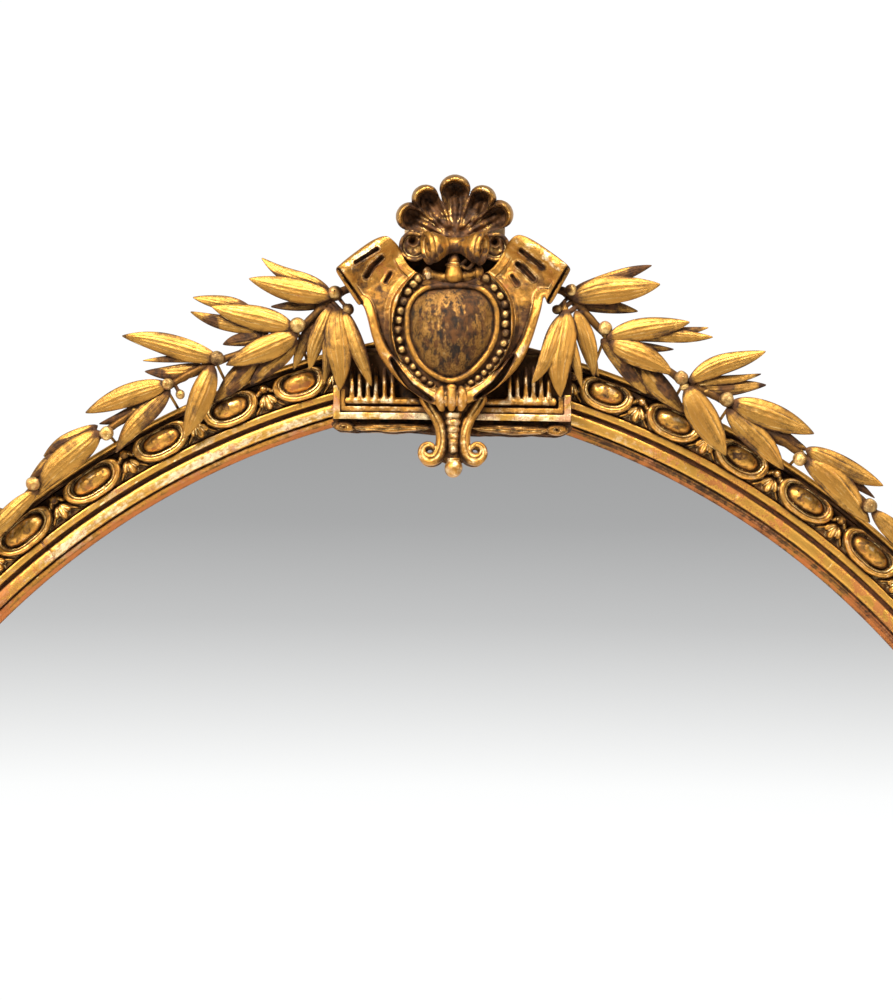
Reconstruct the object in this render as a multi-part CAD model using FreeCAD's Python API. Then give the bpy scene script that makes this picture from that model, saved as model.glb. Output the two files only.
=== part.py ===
import FreeCAD, Part
import os, math
from FreeCAD import Vector as V, Matrix, Placement, Rotation

os.makedirs("parts", exist_ok=True)

# ---------------------------------------------------------------- driving dimensions, mm
R_SIGHT = 781.0        # radius of the arch at the sight edge of the mouldings
C_OFF = 116.0          # how far each arc's centre lies beyond the centreline
Z_SPRING = 998.0       # height where the arch leaves the straight stiles
W_MOULD = 72.5         # width of the frame, sight edge to outer edge
R_REBATE = 8.0         # rebate: the wooden frame starts this far outside the sight edge
T_FRAME = 24.0         # thickness of the pine frame, y = -12 .. +12
Y_FACE = -12.0         # front of the pine frame, and front surface of the mirror plate
Y_BACK = 12.0          # back of the pine frame
Y_WALL = 24.0          # wall plane: backs of the pads and of the crest brace
T_GLASS = 5.0
GLASS_LAP = 7.0        # how far the plate reaches behind the sight edge
T_BOARD = 8.0          # backboards
BOARD_LAP = 24.0       # how far the backboards reach outside the sight edge
N_BOARDS = 5
A_JOINT = 50.6         # angle above the springing of the joint between the two arch segments
X_CREST = 9.0          # the crest sits this far right of the centreline, as hand-set work does

TEN_L, TEN_H, TEN_T = 40.0, 40.0, 8.0        # rail tenon
PEG_R = 4.0
SPL_L, SPL_W, SPL_T = 60.0, 30.0, 6.0        # loose tongues in the arch joints

SCREW_R, SCREW_HEAD_R, SCREW_HEAD_T = 2.0, 4.0, 2.0
RING_WIRE_R = 2.0
RING_CLEAR = 0.05
RING_W, RING_H = 28.0, 30.0                  # D ring, centre to centre of the wire
KNUCKLE_R, KNUCKLE_L = 3.6, 18.0
HINGE_Y = Y_BACK + 4.4
HINGE_X, HINGE_Z = 648.0, 1330.0
PLATE_W, PLATE_L, PLATE_T = 18.0, 46.0, 1.5

# moulding sections: (distance outside the sight edge, height in front of the frame's face)
SEC_SIGHT = [(0, 0), (0, 3.5), (8.7, 9), (9.1, 7), (10, 7), (10.3, 12.5), (13, 14), (19, 14), (22.2, 12.5),
             (22.6, 8.5), (25.6, 8.5), (26.2, 16), (33, 17), (33, 0)]
SEC_EGG = [(33, 0), (33, 13), (37, 15.5), (43, 18.5), (50, 21.5), (57, 23.5), (61, 24), (63.6, 21.5), (64, 12), (64, 0)]
SEC_FILLET = [(64, 0), (64, 9), (67.4, 9), (68, 20), (70, 22), (72.5, 20), (72.5, 0)]

# front view: u to the right and v down, in mm on the plane of the mouldings' faces, seen from VIEW_D in front of it
# with the frame tilted by ROLL, u0 and v0 being the middle of the view
VIEW_D, ROLL = 2200.0, math.radians(0.8)
U0, V0, X_VIEW, Z_VIEW, Y_VIEW = 446.5, 500.0, 4.5, 1674.0, -2227.0


def at(u, v, d):
    """Point d in front of the frame's face that is seen at u, v."""
    y = Y_FACE - d
    s = (y - Y_VIEW) / VIEW_D
    du, dv = u - U0, v - V0
    a = du * math.cos(ROLL) + dv * math.sin(ROLL)
    b = -du * math.sin(ROLL) + dv * math.cos(ROLL)
    return V(X_VIEW + a * s, y, Z_VIEW - b * s)


ALL = {}


def keep(name, shape):
    if isinstance(shape, (list, tuple)):
        shape = Part.makeCompound(list(shape))
    ALL[name] = shape
    return shape


def box(x0, x1, y0, y1, z0, z1):
    return Part.makeBox(x1 - x0, y1 - y0, z1 - z0, V(x0, y0, z0))


def mir(s):
    return s.mirror(V(0, 0, 0), V(1, 0, 0))


def fuse(list_):
    if len(list_) == 1:
        return list_[0]
    return list_[0].multiFuse(list_[1:]).removeSplitter()


def prism(uv, d0, d1):
    """Straight prism between two depths, its outline given in the front view."""
    dm = 0.5 * (d0 + d1)
    pts = [at(u, v, dm) for u, v in uv]
    pts = [V(p.x, Y_FACE - d0, p.z) for p in pts]
    f = Part.Face(Part.makePolygon(pts + [pts[0]]))
    return f.extrude(V(0, -(d1 - d0), 0))


def pod(a, ra, b, rb, d0, d1):
    """Prism round two circles and their common tangents."""
    dm = 0.5 * (d0 + d1)
    pa, pb = at(a[0], a[1], dm), at(b[0], b[1], dm)
    ax, az, bx, bz = pa.x, pa.z, pb.x, pb.z
    L = math.hypot(bx - ax, bz - az)
    t = math.atan2(bz - az, bx - ax)
    k = math.acos((ra - rb) / L)
    y = Y_FACE - d0

    def on(cx, cz, r, ang):
        return V(cx + r * math.cos(ang), y, cz + r * math.sin(ang))

    a1, a2, am = on(ax, az, ra, t + k), on(ax, az, ra, t - k), on(ax, az, ra, t + math.pi)
    b1, b2, bm = on(bx, bz, rb, t + k), on(bx, bz, rb, t - k), on(bx, bz, rb, t)
    w = Part.Wire([Part.Arc(a1, am, a2).toShape(), Part.makeLine(a2, b2), Part.Arc(b2, bm, b1).toShape(), Part.makeLine(b1, a1)])
    return Part.Face(w).extrude(V(0, -(d1 - d0), 0))


def rod(p, q, r):
    return Part.makeCylinder(r, (q - p).Length, p, q - p)


def ball(c, r, n=10, m=6):
    """Berry cut with flat facets."""
    rows = []
    for j in range(1, m):
        b = math.pi * j / m
        rows.append([V(c.x + r * math.sin(b) * math.cos(2 * math.pi * i / n), c.y + r * math.sin(b) * math.sin(2 * math.pi * i / n),
                       c.z + r * math.cos(b)) for i in range(n)])
    top, low = V(c.x, c.y, c.z + r), V(c.x, c.y, c.z - r)
    faces = []
    for i in range(n):
        k = (i + 1) % n
        faces.append([top, rows[0][i], rows[0][k]])
        faces.append([low, rows[-1][k], rows[-1][i]])
        for j in range(len(rows) - 1):
            faces.append([rows[j][i], rows[j + 1][i], rows[j + 1][k], rows[j][k]])
    sh = Part.makeShell([Part.Face(Part.makePolygon(f + [f[0]])) for f in faces])
    so = Part.makeSolid(sh)
    if so.Volume < 0:
        so.reverse()
    return so


def twig(pts, r):
    """Six-sided twig through points, with a small faceted node at each bend."""
    out = []
    for i in range(len(pts) - 1):
        p, q = pts[i], pts[i + 1]
        ax = (q - p) * (1.0 / (q - p).Length)
        n1 = ax.cross(V(0.091, 1.0, 0.057))
        n1 = n1 * (r / n1.Length)
        n2 = ax.cross(n1)
        ring_ = [p + n1 * math.cos(math.pi * k / 3) + n2 * math.sin(math.pi * k / 3) for k in range(6)]
        out.append(Part.Face(Part.makePolygon(ring_ + [ring_[0]])).extrude(q - p))
        if i:
            out.append(ball(p, r * 1.17, 9, 5))
    return out


# ---------------------------------------------------------------- outlines of the whole frame
def apex(r):
    R = R_SIGHT + r
    return Z_SPRING + math.sqrt(R * R - C_OFF * C_OFF)


def arc_pt(r, ang, y=0.0):
    """Left arc: ang above the springing."""
    R = R_SIGHT + r
    a = math.radians(ang)
    return V(C_OFF - R * math.cos(a), y, Z_SPRING + R * math.sin(a))


def apex_ang(r):
    return math.degrees(math.acos(C_OFF / (R_SIGHT + r)))


def outline(r, y):
    xs = R_SIGHT - C_OFF + r
    z0 = W_MOULD - r
    bl, br = V(-xs, y, z0), V(xs, y, z0)
    sl, sr = V(-xs, y, Z_SPRING), V(xs, y, Z_SPRING)
    top = V(0, y, apex(r))
    am = arc_pt(r, 0.5 * apex_ang(r), y)
    bm = V(-am.x, y, am.z)
    return Part.Wire([Part.makeLine(bl, sl), Part.Arc(sl, am, top).toShape(), Part.Arc(top, bm, sr).toShape(),
                      Part.makeLine(sr, br), Part.makeLine(br, bl)])


XI, XO = R_SIGHT - C_OFF + R_REBATE, R_SIGHT - C_OFF + W_MOULD    # inner and outer faces of the stiles


# ---------------------------------------------------------------- pine frame with its joints
def segment(a0, a1, top=False):
    ri, ro = R_REBATE, W_MOULD
    ai, ao = (apex_ang(ri), apex_ang(ro)) if top else (a1, a1)
    pi0, pi1, pim = arc_pt(ri, a0, Y_FACE), arc_pt(ri, ai, Y_FACE), arc_pt(ri, 0.5 * (a0 + ai), Y_FACE)
    po0, po1, pom = arc_pt(ro, a0, Y_FACE), arc_pt(ro, ao, Y_FACE), arc_pt(ro, 0.5 * (a0 + ao), Y_FACE)
    w = Part.Wire([Part.Arc(pi0, pim, pi1).toShape(), Part.makeLine(pi1, po1), Part.Arc(po1, pom, po0).toShape(), Part.makeLine(po0, pi0)])
    return Part.Face(w).extrude(V(0, T_FRAME, 0))


def tongue(cx, cz, ang):
    """Loose tongue across a joint; its length runs at ang to the X axis, in the XZ plane."""
    b = Part.makeBox(SPL_L, SPL_T, SPL_W, V(-SPL_L / 2, -SPL_T / 2, -SPL_W / 2))
    b.Placement = Placement(V(cx, 0, cz), Rotation(V(0, 1, 0), -ang))
    return b


rm = 0.5 * (R_REBATE + W_MOULD)
pj = arc_pt(rm, A_JOINT)
tongues = [tongue(-(R_SIGHT - C_OFF + rm), Z_SPRING, 90), tongue(pj.x, pj.z, 90 - A_JOINT)]
tongues = tongues + [mir(t) for t in tongues]
tongues.append(tongue(0, 0.5 * (apex(R_REBATE) + apex(W_MOULD)), 0))
keep("joint_tongues", tongues)

rail = box(-XI, XI, Y_FACE, Y_BACK, 0, W_MOULD - R_REBATE)
tz = 0.5 * (W_MOULD - R_REBATE)
ten_l = box(-XI - TEN_L, -XI, -TEN_T / 2, TEN_T / 2, tz - TEN_H / 2, tz + TEN_H / 2)
rail = rail.multiFuse([ten_l, mir(ten_l)]).removeSplitter()
pegs = [Part.makeCylinder(PEG_R, T_FRAME, V(sx * (XI + px), Y_FACE, tz + pz), V(0, 1, 0))
        for sx in (-1, 1) for px, pz in ((12, 9), (26, -9))]
keep("rail_pegs", pegs)
rail = rail.cut(Part.makeCompound(pegs))
keep("bottom_rail", rail)
stile = box(-XO, -XI, Y_FACE, Y_BACK, 0, Z_SPRING).cut(ten_l).cut(Part.makeCompound(pegs[:2] + [tongues[0]]))
keep("left_stile", stile)
keep("right_stile", mir(stile))
lower = segment(0, A_JOINT).cut(Part.makeCompound([tongues[0], tongues[1]]))
upper = segment(A_JOINT, 0, True).cut(Part.makeCompound([tongues[1], tongues[4]]))
keep("left_arch_lower", lower)
keep("left_arch_upper", upper)
keep("right_arch_lower", mir(lower))
keep("right_arch_upper", mir(upper))


# ---------------------------------------------------------------- gilded mouldings, mitred at the corners
def sections(sec):
    """Left arch, left stile and bottom lengths of one moulding."""
    pts = [V(C_OFF - R_SIGHT - r, Y_FACE - h, Z_SPRING) for r, h in sec]
    face = Part.Face(Part.makePolygon(pts + [pts[0]]))
    arch = face.revolve(V(C_OFF, 0, Z_SPRING), V(0, 1, 0), 86).cut(box(0, 300, -60, 20, 1600, 2000))
    down = face.extrude(V(0, 0, -Z_SPRING))
    w = Part.Face(Part.makePolygon([V(-XO, -60, 0), V(-XO + 200, -60, 200), V(-XO + 200, -60, -50), V(-XO - 50, -60, -50), V(-XO, -60, 0)]))
    w = w.extrude(V(0, 90, 0))
    down = down.cut(w)
    pb = [V(-XO, Y_FACE - h, W_MOULD - r) for r, h in sec]
    bot = Part.Face(Part.makePolygon(pb + [pb[0]])).extrude(V(2 * XO, 0, 0))
    w2 = Part.Face(Part.makePolygon([V(-XO, -60, 0), V(-XO + 200, -60, 200), V(-XO - 50, -60, 200), V(-XO - 50, -60, 0), V(-XO, -60, 0)]))
    w2 = w2.extrude(V(0, 90, 0))
    bot = bot.cut(Part.makeCompound([w2, mir(w2)]))
    return arch, down, bot


for name, sec in (("sight_moulding", SEC_SIGHT), ("egg_moulding", SEC_EGG), ("outer_fillet", SEC_FILLET)):
    arch, down, bot = sections(sec)
    keep("left_" + name, [arch, down])
    keep("right_" + name, [mir(arch), mir(down)])
    keep("bottom_" + name, bot)

# ---------------------------------------------------------------- mirror plate, blocks and backboards
keep("mirror_plate", Part.Face(outline(GLASS_LAP, Y_FACE)).extrude(V(0, T_GLASS, 0)))

BLK_L, BLK_W, BLK_T = 40.0, 12.0, 11.0
y0 = Y_FACE + T_GLASS


def block():
    f = Part.Face(Part.makePolygon([V(0, y0, -BLK_L / 2), V(BLK_W, y0, -BLK_L / 2), V(5, y0 + BLK_T, -BLK_L / 2),
                                    V(0, y0 + BLK_T, -BLK_L / 2), V(0, y0, -BLK_L / 2)]))
    return f.extrude(V(0, 0, BLK_L))


blocks = []
for z in (220, 520, 820):
    b = block()
    b.translate(V(-XI, 0, z))
    blocks += [b, mir(b)]
for x in (-450, -150, 150, 450):
    b = block()
    b.Placement = Placement(V(x, 0, W_MOULD - R_REBATE), Rotation(V(0, 1, 0), -90))
    blocks.append(b)
for a in (12, 28, 44, 60, 74):
    b = block()
    p = arc_pt(R_REBATE - 0.3, a)
    b.Placement = Placement(V(p.x, 0, p.z), Rotation(V(0, 1, 0), a))
    blocks += [b, mir(b)]
keep("glazing_blocks", blocks)

whole = Part.Face(outline(BOARD_LAP, Y_BACK)).extrude(V(0, T_BOARD, 0))
zb0, zb1 = W_MOULD - BOARD_LAP, apex(BOARD_LAP)
hb = (zb1 - zb0) / N_BOARDS
boards = []
for i in range(N_BOARDS):
    boards.append(whole.common(box(-900, 900, 0, 60, zb0 + i * hb + (0.4 if i else -5), zb0 + (i + 1) * hb - (0.4 if i < N_BOARDS - 1 else -5))))


# ---------------------------------------------------------------- screws: countersunk heads flush with the wood they hold
def screw(x, z, y_head, length):
    """Drives towards -Y from y_head."""
    sh = Part.makeCylinder(SCREW_R, length, V(x, y_head, z), V(0, -1, 0))
    hd = Part.makeCone(SCREW_HEAD_R, SCREW_R, SCREW_HEAD_T, V(x, y_head, z), V(0, -1, 0))
    return sh.fuse(hd)


screws_board = []
for i in range(N_BOARDS):
    zs = [zb0 + i * hb + 60, zb0 + (i + 1) * hb - 60]
    for z in zs:
        if z < Z_SPRING:
            x = -(R_SIGHT - C_OFF + 16)
        else:
            R = R_SIGHT + 16
            k = R * R - (z - Z_SPRING) ** 2
            if k <= 0:
                continue
            x = C_OFF - math.sqrt(k)
        if x > -90:
            continue
        screws_board += [screw(x, z, Y_BACK + T_BOARD, 18), screw(-x, z, Y_BACK + T_BOARD, 18)]
for x in (-420, 0, 420):
    screws_board.append(screw(x, W_MOULD - 16, Y_BACK + T_BOARD, 18))
BRACE_Z0, BRACE_Z1 = apex(BOARD_LAP) + 4, 1962.0
screws_crest = [screw(X_CREST + dx, BRACE_Z0 + 18, Y_WALL, 26) for dx in (-42, 42)]
screws_crest += [screw(X_CREST + dx, z, Y_WALL, 40) for dx, z in ((-24, 1885), (24, 1885), (0, 1935))]

# ---------------------------------------------------------------- hangers
PL_X = HINGE_X
plate_l = box(-PL_X - PLATE_W / 2, -PL_X + PLATE_W / 2, Y_BACK, Y_BACK + PLATE_T, HINGE_Z - PLATE_L, HINGE_Z)
kn = Part.makeCylinder(KNUCKLE_R, KNUCKLE_L, V(-PL_X - KNUCKLE_L / 2, HINGE_Y, HINGE_Z), V(1, 0, 0))
web = box(-PL_X - KNUCKLE_L / 2, -PL_X + KNUCKLE_L / 2, Y_BACK, HINGE_Y, HINGE_Z - 1.5, HINGE_Z + 1.5)
bore = Part.makeCylinder(RING_WIRE_R + RING_CLEAR, KNUCKLE_L + 2, V(-PL_X - KNUCKLE_L / 2 - 1, HINGE_Y, HINGE_Z), V(1, 0, 0))
screws_hang = [screw(-PL_X, z, Y_BACK + PLATE_T, 18) for z in (HINGE_Z - 13, HINGE_Z - 41)]
plate_l = plate_l.multiFuse([kn, web]).removeSplitter().cut(bore).cut(Part.makeCompound(screws_hang))
keep("left_hanger_plate", plate_l)
keep("right_hanger_plate", mir(plate_l))
screws_hang += [mir(s) for s in screws_hang]

# the ring: a straight bar in the knuckle, two short legs and a half round bend, all of one wire
hw = RING_W / 2
rr = RING_WIRE_R
px = -PL_X
a, b = V(px - hw, HINGE_Y, HINGE_Z), V(px + hw, HINGE_Y, HINGE_Z)
c, d_ = V(px - hw, HINGE_Y, HINGE_Z - RING_H + hw), V(px + hw, HINGE_Y, HINGE_Z - RING_H + hw)
tor = Part.makeTorus(hw, rr, V(px, HINGE_Y, c.z), V(0, 1, 0)).cut(box(px - 40, px + 40, HINGE_Y - 10, HINGE_Y + 10, c.z, c.z + 40))
ring = fuse([rod(a, b, rr), rod(a, c, rr), rod(b, d_, rr), Part.makeSphere(rr, a), Part.makeSphere(rr, b), tor])
keep("left_ring", ring)
keep("right_ring", mir(ring))

# screws, holes and the pieces they hold
wood = {"left_stile": None, "right_stile": None, "bottom_rail": None, "left_arch_lower": None, "left_arch_upper": None,
        "right_arch_lower": None, "right_arch_upper": None}
allscrews = screws_board + screws_crest + screws_hang


def drill(shape, screws):
    bb = shape.BoundBox
    near = [s for s in screws if s.BoundBox.intersect(bb)]
    return shape.cut(Part.makeCompound(near)) if near else shape


for n in wood:
    ALL[n] = drill(ALL[n], allscrews)
for i, b in enumerate(boards):
    keep("back_board_%d" % (i + 1), drill(b, screws_board))
keep("small_screws", screws_board + screws_hang)
keep("crest_screws", screws_crest)

# ---------------------------------------------------------------- pads that stand the frame off the wall
PAD = 36.0
pads = []
pads.append(box(-XO + 2, -XO + 2 + 36, Y_BACK, Y_WALL, 70, 70 + 60))
pads.append(box(-XO + 2, -XO + 2 + 36, Y_BACK, Y_WALL, 780, 780 + 60))
pads += [mir(p) for p in pads]
keep("wall_pads", pads)

# ---------------------------------------------------------------- crest: board, block and brace
board = prism([(404, 222), (414, 196), (440, 184), (470, 184), (494, 196), (508, 222), (512, 238), (538, 252), (552, 278), (546, 300),
               (536, 326), (529, 344), (381, 344), (374, 326), (363, 300), (354, 284), (364, 258), (398, 240)], 24, 40)
keep("crest_board", board)
block_ = box(X_CREST - 50, X_CREST + 50, Y_FACE - 24, Y_BACK, apex(W_MOULD) + 1.5, 1955)
brace = box(X_CREST - 50, X_CREST + 50, Y_BACK, Y_WALL, BRACE_Z0, BRACE_Z1)
keep("crest_block", drill(block_, screws_crest))
keep("crest_brace", drill(brace, screws_crest))

# shell: seven spoon lobes spread from the scroll
hub = (455, 240)
lobes = [((455, 190), 15.5), ((425.5, 198), 14), ((482, 199), 14), ((409.5, 216), 14.5), ((498.5, 214), 15), ((414, 246), 17), ((495, 247), 15.5)]
shell = [pod(hub, 10, c_, r_, 40, 40 + dd) for (c_, r_), dd in zip(lobes, (30, 28, 28, 26, 26, 30, 30))]
shell.append(prism([(424, 232), (486, 232), (486, 262), (424, 262)], 40, 56))
keep("shell", fuse(shell))

# spool shaped scroll in front of the shell, trumpet ends turned outwards
p1, p2, pm = at(424, 248, 66), at(486, 248, 66), at(455, 244, 64)
spool = [Part.makeCone(13.5, 5.5, (pm - p1).Length, p1, pm - p1), Part.makeCone(13.5, 5.5, (pm - p2).Length, p2, pm - p2), Part.makeSphere(5.6, pm)]
spool = fuse(spool).cut(box(-200, 200, Y_FACE - 56, Y_FACE, 1700, 2100))
keep("scroll_spool", spool.cut(ALL["shell"]))

# turned drop and bar below the spool
q0, q1 = at(453, 264, 60), at(453, 280, 60)
drop = [Part.makeCone(4, 9, (q1 - q0).Length, q0, q1 - q0)]
drop.append(prism([(428, 271), (478, 269.5), (478, 277), (428, 278.5)], 46, 60))
for u, v in ((428, 275), (478, 273)):
    drop.append(prism([(u + 5.6 * math.cos(math.radians(22.5 + 45 * i)), v + 5.6 * math.sin(math.radians(22.5 + 45 * i))) for i in range(8)], 50, 61))
drop.append(prism([(436, 266), (470, 266), (470, 281), (436, 281)], 40, 56))
keep("turned_drop", fuse(drop))

# cartouche: shield with two rolled shoulders and a strap round its lower sides
shield = prism([(392, 290), (400, 284), (430, 283.5), (476, 283.5), (506, 284), (516, 292), (544, 300), (537, 324), (524.5, 357), (505, 381), (483, 394),
                (470, 398), (453, 400), (434, 398), (413, 390), (394, 374), (378, 352), (368, 321), (362, 303)], 40, 60)
sh_l = prism([(336, 271), (350, 254), (386, 236), (397, 248), (400, 283), (390, 292), (366, 306), (352, 303)], 42, 66)
sh_r = prism([(570, 269), (556, 252), (518, 235), (507, 250), (505, 283), (518, 292), (540, 303), (556, 300)], 42, 66)
r1a, r1b = at(352, 292, 66), at(384, 246, 66)
r2a, r2b = at(554, 290, 66), at(521, 245, 66)
rolls = [rod(r1a, r1b, 9.0), rod(r2a, r2b, 9.0)]
strap = [pod((366, 312), 5, (380, 350), 5.5, 60, 68), pod((380, 350), 5.5, (410, 384), 5.5, 60, 68),
         pod((540, 310), 5, (522, 352), 5.5, 60, 68), pod((522, 352), 5.5, (494, 384), 5.5, 60, 68)]
cart = fuse([shield, sh_l, sh_r] + rolls + strap)
cart = cart.cut(ALL["shell"])
keep("cartouche_body", cart)

# boss on the shield, its rim, the beads round it
BOSS_C = (451.2, 333.5)
BC = at(BOSS_C[0], BOSS_C[1], 60)


def ellipse_prism(ax, az, d0, d1, cz=0.0):
    e = Part.Ellipse(V(0, 0, 0), max(ax, az), min(ax, az))
    w = Part.Wire([e.toShape()])
    f = Part.Face(w)
    s = f.extrude(V(0, 0, d1 - d0))
    # ellipse's long axis along X; turned so that it stands up in the XZ plane
    rot = Rotation(V(1, 0, 0), 90)
    if az > ax:
        rot = Rotation(V(0, 1, 0), 90).multiply(rot)
    s.Placement = Placement(V(BC.x, Y_FACE - d0, BC.z + cz), rot)
    return s


rim = ellipse_prism(47.3, 47.9, 60, 68).cut(ellipse_prism(41.2, 43.8, 59, 69))
keep("boss_rim", rim)
dome = Part.makeSphere(1.0, V(0, 0, 0), V(0, 0, 1), 0, 90, 360)
m = Matrix()
m.scale(40.6, 43.2, 26.0)
dome = dome.transformGeometry(m)
dome.Placement = Placement(V(BC.x, Y_FACE - 60, BC.z), Rotation(V(1, 0, 0), 90))
keep("cartouche_boss", dome)

beads = []
NB = 15
for i in range(NB):
    t = i / (NB - 1.0)
    ang = math.radians(16 + t * 150)
    rad = 4.1 - 1.4 * t
    for sgn in (-1, 1):
        if i == NB - 1 and sgn > 0:
            continue
        x = BC.x + sgn * 53.0 * math.sin(ang)
        z = BC.z + 54.0 * math.cos(ang)
        beads.append(Part.makeSphere(rad, V(x, Y_FACE - 60, z), V(0, -1, 0), 0, 90, 360))
keep("bead_string", beads)

# clasp of three rolls at the foot of the shield
clasp = [prism([(433, 390), (468, 390), (468, 408), (433, 408)], 60, 64)]
for u in (439.5, 451.2, 462.7):
    clasp.append(rod(at(u, 390, 65), at(u + 0.25, 409, 65), 5.4))
clasp = fuse(clasp).cut(box(-200, 200, Y_FACE - 60, Y_FACE, 1700, 2100)).cut(ALL["boss_rim"])
keep("cartouche_clasp", clasp)

# tablet behind the cartouche: panel, raised edging, fluted ledge and carved apron
keep("crest_tablet", prism([(333, 347), (571.5, 347), (571.5, 424), (333, 422)], 24, 36))
edge = fuse([prism([(333, 385), (340.5, 385), (340.5, 420), (333, 420)], 36, 44),
             prism([(333, 411.5), (571.5, 414.5), (571.5, 422.3), (333, 419.3)], 36, 44),
             prism([(563.7, 392), (571.5, 392), (571.5, 422), (563.7, 422)], 36, 44)])
keep("tablet_edging", edge)
fl = [prism([(348, 398.5), (388, 399.0), (388, 405), (348, 404.5)], 36, 43), prism([(515, 400), (556, 400.6), (556, 406.4), (515, 406)], 36, 43)]
for u in (351.9, 359.9, 368, 376.3, 384.6, 519.5, 527.8, 536, 544.2, 552.3):
    fl.append(prism([(u - 2.6, 358), (u + 2.6, 358), (u + 2.6, 402), (u - 2.6, 402)], 36, 41))
keep("tablet_flutes", fuse(fl[:1] + fl[2:7]).fuse(fuse(fl[1:2] + fl[7:])).cut(ALL["cartouche_body"]))
keep("tablet_apron", fuse([prism([(334, 422.2), (571.5, 424.2), (571, 432), (334, 430)], 24, 38),
                           prism([(334, 421), (428, 422), (428, 433.5), (334, 432)], 38, 42),
                           prism([(475, 423), (571, 424), (571, 433.5), (475, 434)], 38, 42)]))

# pendant: two S straps with volutes, a string of husks and a ball
con = []
for pts in (((404, 396), (424, 410), (436, 432), (429, 451)), ((502, 397), (482, 411), (470, 433), (476.6, 452))):
    rs = (6, 6, 5, 11.5)
    for i in range(3):
        con.append(pod(pts[i], rs[i], pts[i + 1], rs[i + 1], 44, 58))
con.append(prism([(430, 409), (476, 409), (470, 436), (436, 436)], 44, 52))
keep("pendant_console", fuse(con))
husk = [Part.makeCone(ra_, rb_, (at(453, v1, 56) - at(453, v0, 56)).Length, at(453, v0, 56), at(453, v1, 56) - at(453, v0, 56))
        for v0, v1, ra_, rb_ in ((410, 421, 4.5, 8.4), (421, 431, 4, 7.4), (431, 441, 3.5, 5.6), (441, 449, 3, 4.4), (449, 461, 2.5, 4.2))]
husk.append(Part.makeSphere(8.4, at(453.6, 468.4, 54)))
hk = fuse(husk).cut(ALL["pendant_console"])
hs = sorted(hk.Solids, key=lambda s: -s.Volume)
keep("pendant_husks", hk)

# ---------------------------------------------------------------- laurel branches
LEAF_T = 3.0
# outline of a blade: share of the length, share of the half width
LENS = [(0.0, 0.0), (0.08, 0.42), (0.22, 0.8), (0.4, 1.0), (0.58, 0.97), (0.76, 0.72), (0.9, 0.36), (1.0, 0.0)]


def leaf(b, t, w, db, dt):
    """Lens shaped blade from base b to tip t, its flat side facing forwards."""
    pb, pt = at(b[0], b[1], db), at(t[0], t[1], dt)
    ax = pt - pb
    L = ax.Length
    ax = ax * (1.0 / L)
    nrm = V(0, -1, 0) - ax * V(0, -1, 0).dot(ax)
    nrm = nrm * (1.0 / nrm.Length)
    side = nrm.cross(ax)
    pts = []
    for t, h in LENS:
        pts.append(pb + ax * (t * L) + side * (h * w / 2) - nrm * (LEAF_T / 2))
    for t, h in reversed(LENS[1:-1]):
        pts.append(pb + ax * (t * L) - side * (h * w / 2) - nrm * (LEAF_T / 2))
    return Part.Face(Part.makePolygon(pts + [pts[0]])).extrude(nrm * LEAF_T)


def stalk(p, q, w=3.2):
    """Square stalk from p to q."""
    ax = q - p
    L = ax.Length
    ax = ax * (1.0 / L)
    n1 = ax.cross(V(0.137, 1.0, 0.071))
    n1 = n1 * (0.5 * w / n1.Length)
    n2 = ax.cross(n1)
    c4 = [p + n1 + n2, p - n1 + n2, p - n1 - n2, p + n1 - n2]
    return Part.Face(Part.makePolygon(c4 + [c4[0]])).extrude(q - p)


# (base u, v), (tip u, v), width, depth at base, depth at tip
LEFT = {
    "crest": [((327, 290), (261.5, 258), 14, 36, 33), ((328, 296), (249, 278.5), 21, 42, 38), ((327, 304), (271, 306.6), 10, 32, 29),
              ((338, 310), (339.6, 390.4), 23, 42, 48), ((345, 313.5), (371.4, 385.8), 15, 44, 51), ((336, 311), (324, 383.5), 13, 39.5, 39.5),
              ((329, 310), (309.7, 369.7), 16, 42, 36), ((318, 320), (293.6, 369.7), 12, 33, 29)],
    "upper": [((290, 327), (212, 306.6), 22, 42, 37), ((250, 310), (193, 297.4), 13, 34, 29), ((265, 332), (190.3, 311.7), 14, 35, 31),
              ((294.8, 335.3), (226, 365), 22, 41, 38), ((260, 334), (223, 344.5), 12, 36, 31), ((294.8, 341), (250, 384.6), 16, 34, 31),
              ((250, 368), (214.5, 401.5), 20, 31, 28)],
    "middle": [((214, 358), (121.8, 335.7), 20, 42, 37), ((214, 361), (143, 360.7), 7, 37, 33), ((205, 368), (145, 371.5), 14, 34, 30),
               ((211.8, 368.8), (183.6, 438.2), 22, 41, 36), ((164, 385), (85, 412.7), 20, 42, 37), ((163, 396), (99.6, 424), 12, 35, 31),
               ((167.3, 391.6), (115.8, 452.8), 18, 39, 34)],
}
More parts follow.
